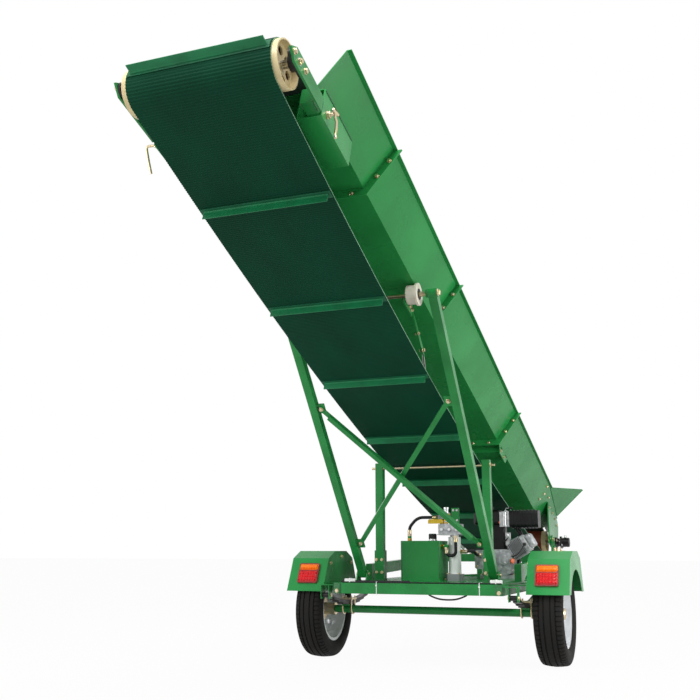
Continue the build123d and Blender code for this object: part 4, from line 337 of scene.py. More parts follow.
def bolt_through(stock, place, axis, half, flats):
    """Bolt heads on both faces of a plate, from the middle of its thickness."""
    for way in BOTH:
        bolt(stock, place + axis * (way * half), axis * way, flats)


def weld(stock, start, end, leg=4.5, pitch=7.0):
    """A weld bead along a corner: a run of overlapping scales."""
    start, end = Vector(start), Vector(end)
    steps = 2 * max(2, round((end - start).length / pitch))
    path, radii = [], []
    for k in range(steps + 1):
        path.append(start.lerp(end, k / steps))
        radii.append(leg * (WELD_END if k in (0, steps) else 1.0 if k % 2 else WELD_VALLEY))
    stock.tube(path, radii, WELD_SIDES)


def rounded(centre, first, second, half_first, half_second, corner):
    """The outline of a rounded rectangle, from its half sizes along two directions."""
    outline = []
    for quarter, (u, v) in enumerate(((1, 1), (-1, 1), (-1, -1), (1, -1))):
        for step in range(CORNER_STEPS + 1):
            turn = pi / 2 * (quarter + step / CORNER_STEPS)
            outline.append(centre + first * (u * (half_first - corner) + corner * cos(turn))
                           + second * (v * (half_second - corner) + corner * sin(turn)))
    return outline


# Boom frame: s runs down the boom from its middle and n off its pan
BOOM_TILT = radians(18)
PIVOT_S, PIVOT_N, PIVOT_HEIGHT = 2300, -150, 768.6
BOOM_HEIGHT = PIVOT_HEIGHT + PIVOT_S * sin(BOOM_TILT) - PIVOT_N * cos(BOOM_TILT)
DOWN_BOOM = Vector((0, cos(BOOM_TILT), -sin(BOOM_TILT)))
OFF_BOOM = Vector((0, sin(BOOM_TILT), cos(BOOM_TILT)))
PAN_HALF = 327
WALL_FLARE, LIP_LOW = 125, 198
FLARE = WALL_FLARE / LIP_LOW
WALL_OUT = ACROSS * cos(atan(FLARE)) - OFF_BOOM * sin(atan(FLARE))


def on_boom(x, s, n):
    """A point of the boom in the shared frame."""
    return Vector((x, 0, BOOM_HEIGHT)) + DOWN_BOOM * s + OFF_BOOM * n


def wall_at(side, s, n):
    """A point on a trough wall's outer face, and the way out of it."""
    out = Vector((side * WALL_OUT.x, WALL_OUT.y, WALL_OUT.z))
    return on_boom(side * (PAN_HALF + FLARE * n), s, n), out


# Belt: ribbed running face over both drums, its return run sagging on its own weight
HEAD_S, TAIL_S, DRUM_N = -3030, 2550, -93
BELT_IN, BELT_THICK, BELT_HALF, BELT_SAG = 97.3, 6.0, 315, 150
BELT_OUT = BELT_IN + BELT_THICK
RIB_PITCH, RIB_DEEP = 12.5, 2.4
# Each point of a rib: share of its pitch, depth
RIB_PROFILE = ((0.0, RIB_DEEP), (0.16, RIB_DEEP), (0.42, 0.0), (0.74, 0.0))
HALF_SPAN = (TAIL_S - HEAD_S) / 2
MIDDLE_S = (TAIL_S + HEAD_S) / 2
LEAVE = 2 * atan(BELT_SAG / HALF_SPAN)
RETURN_LOW = DRUM_N - BELT_IN - BELT_SAG
SAG_HALF = HALF_SPAN + BELT_IN * sin(LEAVE)
SAG_DEEP = DRUM_N - BELT_IN * cos(LEAVE) - RETURN_LOW
SAG_RADIUS = (SAG_HALF ** 2 + SAG_DEEP ** 2) / (2 * SAG_DEEP)
SAG_TURN = asin(SAG_HALF / SAG_RADIUS)
WRAP = pi - LEAVE
belt_runs = (2 * HALF_SPAN, BELT_IN * WRAP, 2 * SAG_RADIUS * SAG_TURN, BELT_IN * WRAP)
belt_length = sum(belt_runs)


def belt_at(run):
    """Place (s, n) on the belt's inside, and the way out of it, at a length along it from the head's top."""
    if run < belt_runs[0]:
        return HEAD_S + run, DRUM_N + BELT_IN, 0.0, 1.0
    run -= belt_runs[0]
    if run < belt_runs[1]:
        turn = run / BELT_IN
        return TAIL_S + BELT_IN * sin(turn), DRUM_N + BELT_IN * cos(turn), sin(turn), cos(turn)
    run -= belt_runs[1]
    if run < belt_runs[2]:
        turn = SAG_TURN - run / SAG_RADIUS
        low = RETURN_LOW + SAG_RADIUS * (1 - cos(turn))
        return MIDDLE_S + SAG_RADIUS * sin(turn), low, sin(turn), -cos(turn)
    turn = pi + LEAVE + (run - belt_runs[2]) / BELT_IN
    return HEAD_S + BELT_IN * sin(turn), DRUM_N + BELT_IN * cos(turn), sin(turn), cos(turn)


ribs = round(belt_length / RIB_PITCH)
belt_rings = []
for rib in range(ribs):
    for along, deep in RIB_PROFILE:
        s, n, out_s, out_n = belt_at((rib + along) / ribs * belt_length)
        outer = BELT_THICK - deep
        inside = (on_boom(x, s, n) for x in (BELT_HALF, -BELT_HALF))
        outside = (on_boom(x, s + out_s * outer, n + out_n * outer) for x in (-BELT_HALF, BELT_HALF))
        belt_rings.append([*outside, *inside])
belt = Stock()
belt.skin(belt_rings, loop=True, edge_slots=(0, 1, 2, 1))
belt.piece("belt_ribbed", "boom", (belt_cover, belt_edge, belt_fabric), 50, ("belt",))

# Cleats: a broad foot welded across the belt, with a rounded blade that ends short of the foot
CLEAT_COUNT = 16
CLEAT_HALF = BELT_HALF - 4
CLEAT_SINK = 0.5
CLEAT_FOOT = ((-21, 0), (21, 0), (21, 2.6), (16, 4), (-16, 4), (-21, 2.6))
CLEAT_BLADE = ((-9, 3), (9, 3), (4.6, 6), (3, 11), (2.6, 38), (1.6, 40.4), (0, 41),
               (-1.6, 40.4), (-2.6, 38), (-3, 11), (-4.6, 6))
BLADE_SHORTER = 14
cleat_pitch = (4 * HALF_SPAN + tau * BELT_OUT) / CLEAT_COUNT
sag_radius_mid = (HALF_SPAN ** 2 + BELT_SAG ** 2) / (2 * BELT_SAG)
# The cleat on the head drum stands a little above the drum's far point
HEAD_CLEAT_TURN = radians(4.5)
head_out = (-cos(HEAD_CLEAT_TURN), sin(HEAD_CLEAT_TURN))
head_reach = BELT_OUT - CLEAT_SINK
cleat_places = [(HEAD_S + head_reach * head_out[0], DRUM_N + head_reach * head_out[1], *head_out)]
for cleat in range(1, CLEAT_COUNT // 2):
    cleat_s = HEAD_S + cleat_pitch * cleat - BELT_OUT * pi / 2
    swing = asin((cleat_s - MIDDLE_S) / sag_radius_mid)
    cleat_places.append((cleat_s, DRUM_N + BELT_OUT - CLEAT_SINK, 0.0, 1.0))
    return_n = RETURN_LOW - BELT_THICK + sag_radius_mid * (1 - cos(swing)) + CLEAT_SINK
    cleat_places.append((cleat_s, return_n, sin(swing), -cos(swing)))
cleats = Stock()
for cleat_s, cleat_n, out_s, out_n in cleat_places:
    # The blade takes the lighter finish, a painted highlight, and the foot the darker one, painted shade
    for section, half, slot in ((CLEAT_FOOT, CLEAT_HALF, 1), (CLEAT_BLADE, CLEAT_HALF - BLADE_SHORTER, 0)):
        form = [(cleat_s + out_s * high + out_n * wide, cleat_n + out_n * high - out_s * wide)
                for wide, high in section]
        cleats.skin([[on_boom(x, s, n) for s, n in form] for x in (-half, half)], slot)
cleats.piece("belt_cleats", "boom", (cleat_pvc_painted_highlight, cleat_foot_painted_shade), 40)

# Tyres: ribbed tread with slotted shoulders, rounded sidewalls and a moulded rim guard
WHEEL_X, AXLE_Y, AXLE_Z = 756, 80, 305
TREAD_BLOCKS, SLOT_DEEP = 68, 6.0
# Each point of a block: share of its pitch, depth of the shoulder slot
BLOCK_PROFILE = ((0.0, 0.0), (0.74, 0.0), (0.78, SLOT_DEEP), (0.96, SLOT_DEEP))
# Each point of half the section: place across, radius, whether the shoulder slots cut it
tread_half = [(66, 191.0, 0), (70.5, 203, 0), (76, 206, 0), (79, 212, 0), (85, 226, 0), (88.2, 244, 0),
              (88.2, 252, 0), (87, 266, 0), (83.5, 281, 0), (80, 288, 1), (74, 294.5, 1), (66, 298, 1),
              (52, 300.8, 1), (51, 294, 1), (44, 294.6, 0), (43, 301.8, 0), (24, 303.8, 0), (23, 297, 0),
              (16, 297.3, 0), (15, 304.4, 0), (0, 305, 0)]
tread = [(-x, r, cut) for x, r, cut in tread_half] + [(x, r, cut) for x, r, cut in reversed(tread_half[:-1])]
WHEEL_NUTS, NUT_CIRCLE, NUT_SEAT, STUD_FROM = 5, 57, 22, 7
VALVE_CIRCLE, VALVE_SEAT = 168, 30
for side_name, side in (("left", -1), ("right", 1)):
    tyre_rings = []
    for block in range(TREAD_BLOCKS):
        for along, deep in BLOCK_PROFILE:
            turn = tau * (block + along) / TREAD_BLOCKS
            ring = [(side * WHEEL_X + x, r - deep * cut) for x, r, cut in tread]
            tyre_rings.append([(x, AXLE_Y + r * cos(turn), AXLE_Z + r * sin(turn)) for x, r in ring])
    tyre = Stock()
    tyre.skin(tyre_rings, loop=True)
    tyre.piece(f"tyre_treaded_{side_name}", f"wheel_{side_name}", (tyre_rubber,), 28,
               (f"tyre_{side_name}",))
    outward = ACROSS * side
    hub = Vector((side * WHEEL_X, AXLE_Y, AXLE_Z))
    nuts = Stock()
    for nut in range(WHEEL_NUTS):
        turn = tau * nut / WHEEL_NUTS
        seat = hub + outward * NUT_SEAT + (AHEAD * cos(turn) + UP * sin(turn)) * NUT_CIRCLE
        bolt(nuts, seat, outward, M12, washer=False)
        nuts.turned(seat + outward * STUD_FROM, outward, ((7, 0), (7, 9), (5.5, 10)), 12)
    nuts.turned(hub + outward * VALVE_SEAT + UP * VALVE_CIRCLE, outward,
                ((5.5, 0), (4.2, 18), (3.6, 34), (0.5, 35)), 10)
    nuts.piece(f"wheel_nuts_{side_name}", f"wheel_{side_name}", (bright_zinc,))

# Tail lamps on the fenders' slope: moulded base, faceted lens, amber in its upper third and red below
LAMP_WIDE, LAMP_HIGH, LAMP_DEEP = 137, 132, 26
FENDER_INNER, FENDER_REAR, FENDER_LOW = 642, AXLE_Y - 307, 427
LAMP_IN, LAMP_MIDDLE = 118, 118
lamp_up = Vector((0, 96, 203)).normalized()
lamp_out = Vector((0, -203, 96)).normalized()
BASE_THICK, BASE_CUT = 12, 0.9
LENS_CELLS, LENS_STEPS = 7, 2
LENS_SMALLER, LENS_SEAT, LENS_EDGE, LENS_FACET, LENS_ROUND = 10, 10, 10.0, 5.0, 0.45
LENS_RISE = LAMP_DEEP - LENS_FACET - LENS_SEAT
AMBER_FROM, LENS_GAP = 0.64, 0.012
columns = LENS_CELLS * LENS_STEPS
stride = columns + 1
lens_width, lens_height = LAMP_WIDE - LENS_SMALLER, LAMP_HIGH - LENS_SMALLER


def peak(place):
    """Height of a moulded facet at a place in its row: 0 at its edges, 1 in its middle."""
    return 1 - abs(2 * (place / LENS_STEPS % 1) - 1)


lamps = Stock()
for side in BOTH:
    middle = Vector((side * (FENDER_INNER + LAMP_IN), FENDER_REAR, FENDER_LOW)) + lamp_up * LAMP_MIDDLE
    base = [middle + ACROSS * (LAMP_WIDE / 2 * u) + lamp_up * (LAMP_HIGH / 2 * v)
            for u, v in ((-1, -BASE_CUT), (-BASE_CUT, -1), (BASE_CUT, -1), (1, -BASE_CUT),
                         (1, BASE_CUT), (BASE_CUT, 1), (-BASE_CUT, 1), (-1, BASE_CUT))]
    lamps.plate(base, lamp_out * BASE_THICK, 2)
    for low, high, slot in ((0.0, AMBER_FROM - LENS_GAP, 0), (AMBER_FROM + LENS_GAP, 1.0, 1)):
        rows = max(LENS_STEPS, round(LENS_CELLS * (high - low)) * LENS_STEPS)
        height = lens_height * (high - low)
        start = middle - ACROSS * (lens_width / 2) + lamp_up * (lens_height * (low - 0.5))
        first = len(lamps.points)
        for row in range(rows + 1):
            for column in range(stride):
                u, v = column / columns * lens_width, row / rows * height
                inset = min(u, lens_width - u, v, height - v)
                lift = LENS_SEAT + LENS_RISE * min(1, max(0, inset) / LENS_EDGE) ** LENS_ROUND
                lift += LENS_FACET * peak(column) * peak(row)
                lamps.points.append(start + ACROSS * u + lamp_up * v + lamp_out * lift)
        for row in range(rows):
            for column in range(columns):
                corner = first + row * stride + column
                lamps.faces.append((corner, corner + 1, corner + stride + 1, corner + stride))
                lamps.slots.append(slot)
        # One face closes the lens behind, round its border
        last = first + rows * stride
        border = [*range(first, first + columns), *range(first + columns, last + columns, stride),
                  *range(last + columns, last, -1), *range(last, first, -stride)]
        lamps.faces.append(tuple(reversed(border)))
        lamps.slots.append(slot)
lamps.piece("tail_lamp_lenses", "chassis", (lens_red, lens_amber, lamp_base), 12,
            ("tail_lamps",))

# Bolts on the boom: joint flanges, ears, hopper, bearings and foot brackets
JOINT_S, JOINT_BOLT_N, JOINT_BOLT_OUT, JOINT_HALF = (-2170, -1030, 610), (58, 140), 21, 5
EAR_BOLTS = ((735, -30), (835, -34))
HOPPER_BOLTS = ((1945, 178), (1985, 130), (1960, 78), (2120, 150), (2250, 120))
BRACKET_X, BRACKET_BOLTS = 415, ((2200, 92), (2340, 92), (2480, 92), (2560, 60))
HEAD_BEARING_X, TAIL_BEARING_X, BEARING_BOLT = 388, 427, 51
PAN_BOLT_X, PAN_BOLT_N = (-270, -160, -50, 50, 160, 270), -21
bolts = Stock()
for side in BOTH:
    outward = ACROSS * side
    for joint in JOINT_S:
        for n in JOINT_BOLT_N:
            seat = on_boom(side * (PAN_HALF + FLARE * n + JOINT_BOLT_OUT), joint, n)
            bolt_through(bolts, seat, DOWN_BOOM, JOINT_HALF, M10)
    for s, n in EAR_BOLTS:
        bolt(bolts, on_boom(side * PAN_HALF, s, n), outward, M10)
    for s, n in HOPPER_BOLTS:
        bolt(bolts, *wall_at(side, s, n), M10)
    for s in (HEAD_S - BEARING_BOLT, HEAD_S + BEARING_BOLT):
        bolt(bolts, on_boom(side * HEAD_BEARING_X, s, DRUM_N), outward, M12)
    for s, n in BRACKET_BOLTS:
        bolt(bolts, on_boom(side * BRACKET_X, s, n), outward, M10)
    for s in (TAIL_S - BEARING_BOLT, TAIL_S + BEARING_BOLT):
        bolt(bolts, on_boom(side * TAIL_BEARING_X, s, DRUM_N), outward, M10, washer=False)
for joint in (JOINT_S[0], JOINT_S[2]):
    for x in PAN_BOLT_X:
        bolt_through(bolts, on_boom(x, joint, PAN_BOLT_N), DOWN_BOOM, JOINT_HALF, M10_FLANGED)
bolts.piece("boom_bolts", "boom", (yellow_zinc,))

# Hopper: rolled rims along the free edges, where the sheet is turned over
HOPPER_REAR, HOPPER_TIP = (452, 2030, 198), (638, 2550, 380)
RIM_SHARES, RIM_RADIUS = (0.02, 0.5, 0.985), 5.5
FRONT_RIM_X, FRONT_RIM_S, FRONT_RIM_N = (-630, 0, 630), 2552, 380
rims = Stock()
for side in BOTH:
    rear, tip = (on_boom(side * x, s, n) for x, s, n in (HOPPER_REAR, HOPPER_TIP))
    rims.tube([rear.lerp(tip, along) for along in RIM_SHARES], RIM_RADIUS)
rims.tube([on_boom(x, FRONT_RIM_S, FRONT_RIM_N) for x in FRONT_RIM_X], RIM_RADIUS)
rims.piece("hopper_rolled_rims", "boom", (green_tube,))

# Take-up locks, with a T handle on the right and a bent one on the left; ends of the head shaft
LOCK_S, LOCK_FACE, LOCK_END, HANDLE_RADIUS = -2740, 384, 418, 6.0
LOCK_NUT_FROM, LOCK_BOLT_FROM = 3, 11
lock_bolt = LOCK_END - LOCK_FACE - 9
# Each handle: its side, and its bends from the bolt's end: outwards, ahead and up
lock_handles = ((1, ((0, 0, 10), (0, 0, -16), (4, 4, -34), (0, 10, -62), (-3, 8, -84), (0, 4, -102))),
                (-1, ((-6, 0, 4), (36, 0, 6), (44, 1, 3), (47, 5, -6), (45, 22, -56), (42, 40, -104))))
locks = Stock()
for side, bends in lock_handles:
    outward = ACROSS * side
    seat = on_boom(side * LOCK_FACE, LOCK_S, DRUM_N)
    locks.turned(seat, outward, ((17, 0), (17, 3), (16, 3.4)), 18)
    locks.turned(seat + outward * LOCK_NUT_FROM, outward, ((15, 0), (15, 9), (13, 11)), HEX)
    locks.turned(seat + outward * LOCK_BOLT_FROM, outward, ((7, 0), (7, lock_bolt), (6, lock_bolt + 2)), 14)
    tip = on_boom(side * LOCK_END, LOCK_S, DRUM_N)
    locks.tube([tip + outward * out + AHEAD * ahead + UP * up for out, ahead, up in bends], HANDLE_RADIUS, 12)
    if side > 0:
        locks.tube([tip + AHEAD * reach + UP * 6 for reach in (-26, -24, 24, 26)], [5, 8, 8, 5], 12)
    locks.turned(on_boom(side * HEAD_BEARING_X, HEAD_S, DRUM_N), outward,
                 ((13, 0), (13, 5), (9, 7), (9, 12), (7, 13)), 18)
locks.piece("take_up_lock_handles", "boom", (yellow_zinc,), 35, ("take_up_locks",))

# Belt motor: bolted flange, ribbed round body with its end cover, and two hose ports
MOTOR_X, MOTOR_FLANGE, MOTOR_CORNER, MOTOR_PLATE, MOTOR_BOLT = 451.3, 43, 14, 16, 32
PORT_X, PORT_S, PORT_N = 44, 14, 36
motor = Stock()
centre = on_boom(MOTOR_X, TAIL_S, DRUM_N)
cover = centre + ACROSS * MOTOR_PLATE
flange = rounded(centre, DOWN_BOOM, OFF_BOOM, MOTOR_FLANGE, MOTOR_FLANGE, MOTOR_CORNER)
motor.plate(flange, ACROSS * MOTOR_PLATE)
motor.turned(cover, ACROSS, ((37, 0), (37, 8), (39, 9), (39, 30), (37, 31), (37, 34), (39, 35), (39, 56),
                             (35, 61), (14, 62)), 32)
for s, n in ((1, 1), (-1, 1), (-1, -1), (1, -1)):
    bolt(motor, cover + (DOWN_BOOM * s + OFF_BOOM * n) * MOTOR_BOLT, ACROSS, M8, 1)
for s in (-PORT_S, PORT_S):
    motor.turned(centre + ACROSS * PORT_X + DOWN_BOOM * s + OFF_BOOM * PORT_N, OFF_BOOM,
                 ((10, 0), (10, 12), (8, 13), (8, 20), (4, 21)), HEX, 1)
motor.piece("belt_motor_body", "boom", (black_enamel, bright_zinc), 35, ("belt_motor",))

# Weld beads on the boom: take-ups, ears, foot brackets and cross channel.
# Each weld: place across, first and last place along the boom, place off the pan, leg
SIDE_WELDS = ((378, -2858, -2802, -56, 4.5), (378, -2858, -2802, -130, 4.5), (385, -2786, -2484, -2, 4.0),
              (275, -2786, -2484, -3, 4.0), (330, 740, 780, -1, 4.0), (330, 880, 920, -1, 4.0),
              (404, 2180, 2240, 121, 4.5), (404, 2300, 2360, 121, 4.5), (404, 2420, 2480, 121, 4.5))
CHANNEL_X, CHANNEL_S, CHANNEL_N, BEAD_HALF = (-250, -90, 90, 250), (719, 801), -2, 35
welds = Stock()
for side in BOTH:
    for x, s_from, s_to, n, leg in SIDE_WELDS:
        weld(welds, on_boom(side * x, s_from, n), on_boom(side * x, s_to, n), leg)
for s in CHANNEL_S:
    for x in CHANNEL_X:
        weld(welds, on_boom(x - BEAD_HALF, s, CHANNEL_N), on_boom(x + BEAD_HALF, s, CHANNEL_N), 4.0)
welds.piece("boom_weld_beads", "boom", (green_weld,), 60)

# Lifting legs: nuts on the roller rod, brace bolts, welds at lugs and collars
LEG_LEAN = radians(40)
LEG_UP = Vector((0, -sin(LEG_LEAN), cos(LEG_LEAN)))
LEG_BACK = Vector((0, -cos(LEG_LEAN), -sin(LEG_LEAN)))
LEG_FOOT = Vector((0, -77, 532))
LEG_LENGTH, ROD_END_X = 1904, 450
ROLLER_ROD = LEG_FOOT + LEG_UP * LEG_LENGTH
BRACE_LOW, BRACE_HIGH = 250, 1247
LUG_ROOT_X, LUG_BOLT_X, LUG_FACE, LUG_HALF, LUG_MIDDLE, LUG_GRIP = 402, 380, 4.5, 29, 4.0, 8.4
COLLAR_FACES, COLLAR_RADIUS, COLLAR_TURNS, COLLAR_STEP = (402, 448), 22, (0.3, 1.7), 0.2
COLLAR_BEAD = (2.5, 4, 3.4, 4, 3.4, 4, 2.5)
bolts = Stock()
welds = Stock()
for side in BOTH:
    outward = ACROSS * side
    rod_end = ROLLER_ROD + outward * ROD_END_X
    bolts.turned(rod_end, outward, ((20, 0), (20, 2.5), (19, 3)), 18)
    bolts.turned(rod_end + outward * 3, outward, ((16, 0), (16, 8), (14, 9.5)), HEX)
    for height in (BRACE_LOW, BRACE_HIGH):
        for face in (-LUG_FACE, LUG_FACE):
            root = LEG_FOOT + LEG_UP * height + outward * LUG_ROOT_X + LEG_BACK * face
            weld(welds, root - LEG_UP * LUG_HALF, root + LEG_UP * LUG_HALF, 4.0)
    for reach in COLLAR_FACES:
        for first_turn in COLLAR_TURNS:
            turns = [first_turn + k * COLLAR_STEP for k in range(len(COLLAR_BEAD))]
            rim = [(LEG_BACK * sin(turn) - LEG_UP * cos(turn)) * COLLAR_RADIUS for turn in turns]
            welds.tube([ROLLER_ROD + outward * reach + point for point in rim], COLLAR_BEAD, WELD_SIDES)
for side, height, face in ((-1, BRACE_HIGH, 1), (1, BRACE_LOW, 1), (1, BRACE_HIGH, -1), (-1, BRACE_LOW, -1)):
    lug = LEG_FOOT + LEG_UP * height + ACROSS * (side * LUG_BOLT_X) + LEG_BACK * (face * LUG_MIDDLE)
    bolt_through(bolts, lug, LEG_BACK * -face, LUG_GRIP, M12)
bolts.piece("leg_bolts", "lift_legs", (yellow_zinc,))
welds.piece("leg_weld_beads", "lift_legs", (green_weld,), 60)

# Roller bearings: a dark seal ring on each face of the rollers
ROLLER_FACES = ((350, 1), (289, -1))
seals = Stock()
for side in BOTH:
    for x, way in ROLLER_FACES:
        seals.turned(ROLLER_ROD + ACROSS * (side * x), ACROSS * (side * way),
                     ((30, -1), (30, 1.2), (22, 2.0), (14, 0.6), (14, -1)), 28)
seals.piece("roller_seals", "lift_legs", (moulded_black,))

# Yoke hardware: bolts through the lift rod's plates
YOKE_X, YOKE_HALF = 250, 4
YOKE_BOLTS = ((-1205, -24, M12), (-1172, -26, M10), (-930, -142, M12), (-1035, -96, M10_FLANGED))
yoke = Stock()
for side in BOTH:
    for s, n, flats in YOKE_BOLTS:
        bolt_through(yoke, on_boom(side * YOKE_X, s, n), ACROSS * -side, YOKE_HALF, flats)
yoke.piece("yoke_bolts", "lift_rod", (yellow_zinc,))

# Chassis: bolts, weld beads and the plates at the beam's ends
DECK_TOP, BEAM_REAR = 490, -322
POST_X, POST_Y, REST_ROD_Z = 361, 80, 1214.4
SLEEVE_HALF, SLEEVE_BOLT_X, SLEEVE_BOLT_Z, ROD_WASHER = 31, 18.6, (620, 540), 25
FENDER_BOLTS = ((-100, 600), (90, 640), (265, 600))
END_PLATE, END_PLATE_THICK = ((486, 423), (486, 483), (526, 483), (526, 423)), 8
END_BOLT_X, END_BOLT_Z, END_WELD_X, END_WELD_FROM, END_WELD_TO = 505, 437, 485, 424, 482
# Each weld of leg feet and pivot brackets: place across, first and last place ahead, height, leg
FOOT_WELDS = ((398, -115, -39, 491, 4.0), (388, -115, -39, 491, 4.0), (452, -115, -39, 491, 4.0),
              (462, -115, -39, 491, 4.0), (420, 2082, 2200, 651, 4.5), (432, 2082, 2200, 651, 4.5))
TANK_BOLTS, TANK_FLANGE = ((-226, 132), (-226, 168), (62, 132), (62, 168)), 496
PUMP_BOLTS, PUMP_FACE = ((190, 575), (250, 575), (190, 665), (250, 665)), 450
ENGINE_BOLTS, ENGINE_FOOT = ((170, 690), (170, 830), (390, 690), (390, 830)), 514
FILTER_BOLTS, FILTER_FLANGE = ((85, 108), (157, 108)), 532
TANK_EDGES, TANK_LOW, TANK_HIGH = ((-206, 50), (42, 50), (-206, 250), (42, 250)), 500, 736
bolts = Stock()
welds = Stock()
for side in BOTH:
    for x in (-SLEEVE_BOLT_X, SLEEVE_BOLT_X):
        for z in SLEEVE_BOLT_Z:
            bolt(bolts, (side * POST_X + x, POST_Y - SLEEVE_HALF, z), -AHEAD, M10_FLANGED)
    for y, z in FENDER_BOLTS:
        bolt(bolts, (side * FENDER_INNER, y, z), ACROSS * -side, M10)
    bolt(bolts, (side * END_BOLT_X, BEAM_REAR - END_PLATE_THICK, END_BOLT_Z), -AHEAD, M10)
    for way in BOTH:
        bolts.turned((side * POST_X + way * ROD_WASHER, POST_Y, REST_ROD_Z), ACROSS * way,
                     ((17, 0), (17, 2.5), (16, 3)), 18)
    corners = [(side * POST_X + u * SLEEVE_HALF, POST_Y + v * SLEEVE_HALF, DECK_TOP + 1)
               for u, v in ((-1, -1), (1, -1), (1, 1), (-1, 1))]
    for near, far in zip(corners, corners[1:] + corners[:1]):
        weld(welds, near, far)
    for x, y_from, y_to, z, leg in FOOT_WELDS:
        weld(welds, (side * x, y_from, z), (side * x, y_to, z), leg)
    welds.plate([(side * x, BEAM_REAR, z) for x, z in END_PLATE], -AHEAD * END_PLATE_THICK)
    x, y = side * END_WELD_X, BEAM_REAR - 1
    weld(welds, (x, y, END_WELD_FROM), (x, y, END_WELD_TO), 3.5)
for x, y in TANK_BOLTS:
    bolt(bolts, (x, y, TANK_FLANGE), UP, M8)
for x, y in ENGINE_BOLTS:
    bolt(bolts, (x, y, ENGINE_FOOT), UP, M10_FLANGED)
for x, z in PUMP_BOLTS:
    bolt(bolts, (x, PUMP_FACE, z), -AHEAD, M8)
for x, y in FILTER_BOLTS:
    bolt(bolts, (x, y, FILTER_FLANGE), UP, M8)
bolts.piece("chassis_bolts", "chassis", (yellow_zinc,))
for x, y in TANK_EDGES:
    weld(welds, (x, y, TANK_LOW), (x, y, TANK_HIGH), 3.0)
welds.piece("chassis_weld_beads", "chassis", (green_weld,), 60)

# Hoses: crimped ferrules and swivel nuts at every end, from its place and its way along the hose
hose_ends = (((-173, 120, 780), UP), ((16, 120, 890), -ACROSS), ((82, 90, 690), -UP), ((144, 90, 762), -UP),
             ((173, 150, 672), ACROSS), ((220, 410, 650), -AHEAD))
FERRULE_FROM = 5
ferrules = Stock()
for place, way in hose_ends:
    ferrules.turned(place, way, ((14.5, -9), (14.5, 4), (13, 5)), HEX)
    ferrules.turned(Vector(place) + way * FERRULE_FROM, way,
                    ((11, 0), (13, 2), (13, 7), (12, 8), (12, 10), (13, 11), (13, 17), (12, 18),
                     (12, 20), (13, 21), (13, 24), (11, 26)), 20)
ferrules.piece("hose_ferrules", "chassis", (yellow_zinc,))

# Brass fittings over the ports of tank and filter, and the valve's brass sleeve
fittings = Stock()
fittings.turned((-173, 120, 741), UP, ((15, 0), (15, 14), (14, 16)), HEX)
fittings.turned((51, 90, 704), ACROSS, ((15, 0), (15, 14), (14, 16)), HEX)
fittings.turned((161, 150, 672), ACROSS, ((15, 0), (15, 10), (14, 11)), HEX)
fittings.turned((70, 150, 850), UP,
                ((27.6, 0), (27.6, 8), (26, 10), (26, 14), (27.6, 16), (27.6, 62), (26, 66)), 28)
fittings.piece("brass_fittings", "chassis", (brass,))

# Tank breather: bright neck and a ribbed black cap
BREATHER_X, BREATHER_Y, GRIP_RIBS = -22, 140, 48
GRIP_HIGH, GRIP_LOW = 26.0, 24.6
# Each ring of the cap: its height, and its radius as a share of the grip's
CAP_RINGS = ((752, 0.98), (754, 1.0), (780, 1.0), (784, 0.93), (786, 0.7))
breather = Stock()
cap_rings = []
for z, scale in CAP_RINGS:
    cap_ring = []
    for k in range(GRIP_RIBS):
        radius, turn = scale * (GRIP_HIGH if k % 2 else GRIP_LOW), tau * k / GRIP_RIBS
        cap_ring.append((BREATHER_X + radius * cos(turn), BREATHER_Y + radius * sin(turn), z))
    cap_rings.append(cap_ring)
breather.skin(cap_rings)
breather.turned((BREATHER_X, BREATHER_Y, 740), UP, ((29, 0), (29, 4), (26, 6), (26, 12)), 28, 1)
breather.piece("tank_breather_cap", "chassis", (moulded_black, bright_zinc))

# Valve trim: green mounting plate, yellow guard over the ports, bright spool caps and knob
VALVE_PLATE_Y, VALVE_PLATE = 145, ((104.5, 847), (104.5, 950), (155.5, 950), (155.5, 847))
GUARD_Y, GUARD = 114, ((-44, 850), (-44, 872), (-38, 878), (48, 878), (54, 872), (54, 850))
valve = Stock()
valve.plate([(x, VALVE_PLATE_Y, z) for x, z in VALVE_PLATE], AHEAD * 10)
for x, z in ((118, 935), (142, 935), (118, 870), (142, 870)):
    bolt(valve, (x, VALVE_PLATE_Y, z), -AHEAD, M7, 1)
valve.plate([(x, GUARD_Y, z) for x, z in GUARD], AHEAD * 18, 2)
valve.turned((70, 150, 920), UP, ((15.4, 0), (15.4, 22), (17, 24), (17, 34), (14, 37), (2, 38)), 24, 1)
for x in (48, 98, 148):
    valve.turned((x, 112, 812), -AHEAD, ((13, 0), (13, 9), (11, 11), (2, 11.5)), HEX, 1)
valve.piece("valve_trim", "chassis", (green_enamel, bright_zinc, signal_yellow))

# Engine trim
BORE_LEAN = radians(30)
BORE = Vector((cos(BORE_LEAN), 0, sin(BORE_LEAN)))
BORE_UP = Vector((-sin(BORE_LEAN), 0, cos(BORE_LEAN)))
CRANK_X, CRANK_Y, CRANK_Z = 280, 760, 620
BORE_FOOT = Vector((CRANK_X, CRANK_Y, CRANK_Z)) + BORE * 90
engine = Stock()
# The trim's finishes, in the order of engine_finishes below
GASKET, BRIGHT, ORANGE, BLACK, SILVER = range(5)
# Head gasket, and black plates set into the gaps between the cylinder's fins as painted shade
GASKET_AT, GASKET_THICK = 138.2, 2.6
FIN_GAPS, FIN_FIRST, FIN_PITCH, FIN_GAP_SHADE = 8, 19.6, 11, 7.2
gasket = rounded(BORE_FOOT + BORE * GASKET_AT, BORE_UP, AHEAD, 57, 61, 24)
engine.plate(gasket, BORE * GASKET_THICK, GASKET)
for gap in range(FIN_GAPS):
    root = rounded(BORE_FOOT + BORE * (FIN_FIRST + FIN_PITCH * gap), BORE_UP, AHEAD, 57, 59, 14)
    engine.plate(root, BORE * FIN_GAP_SHADE, BLACK)
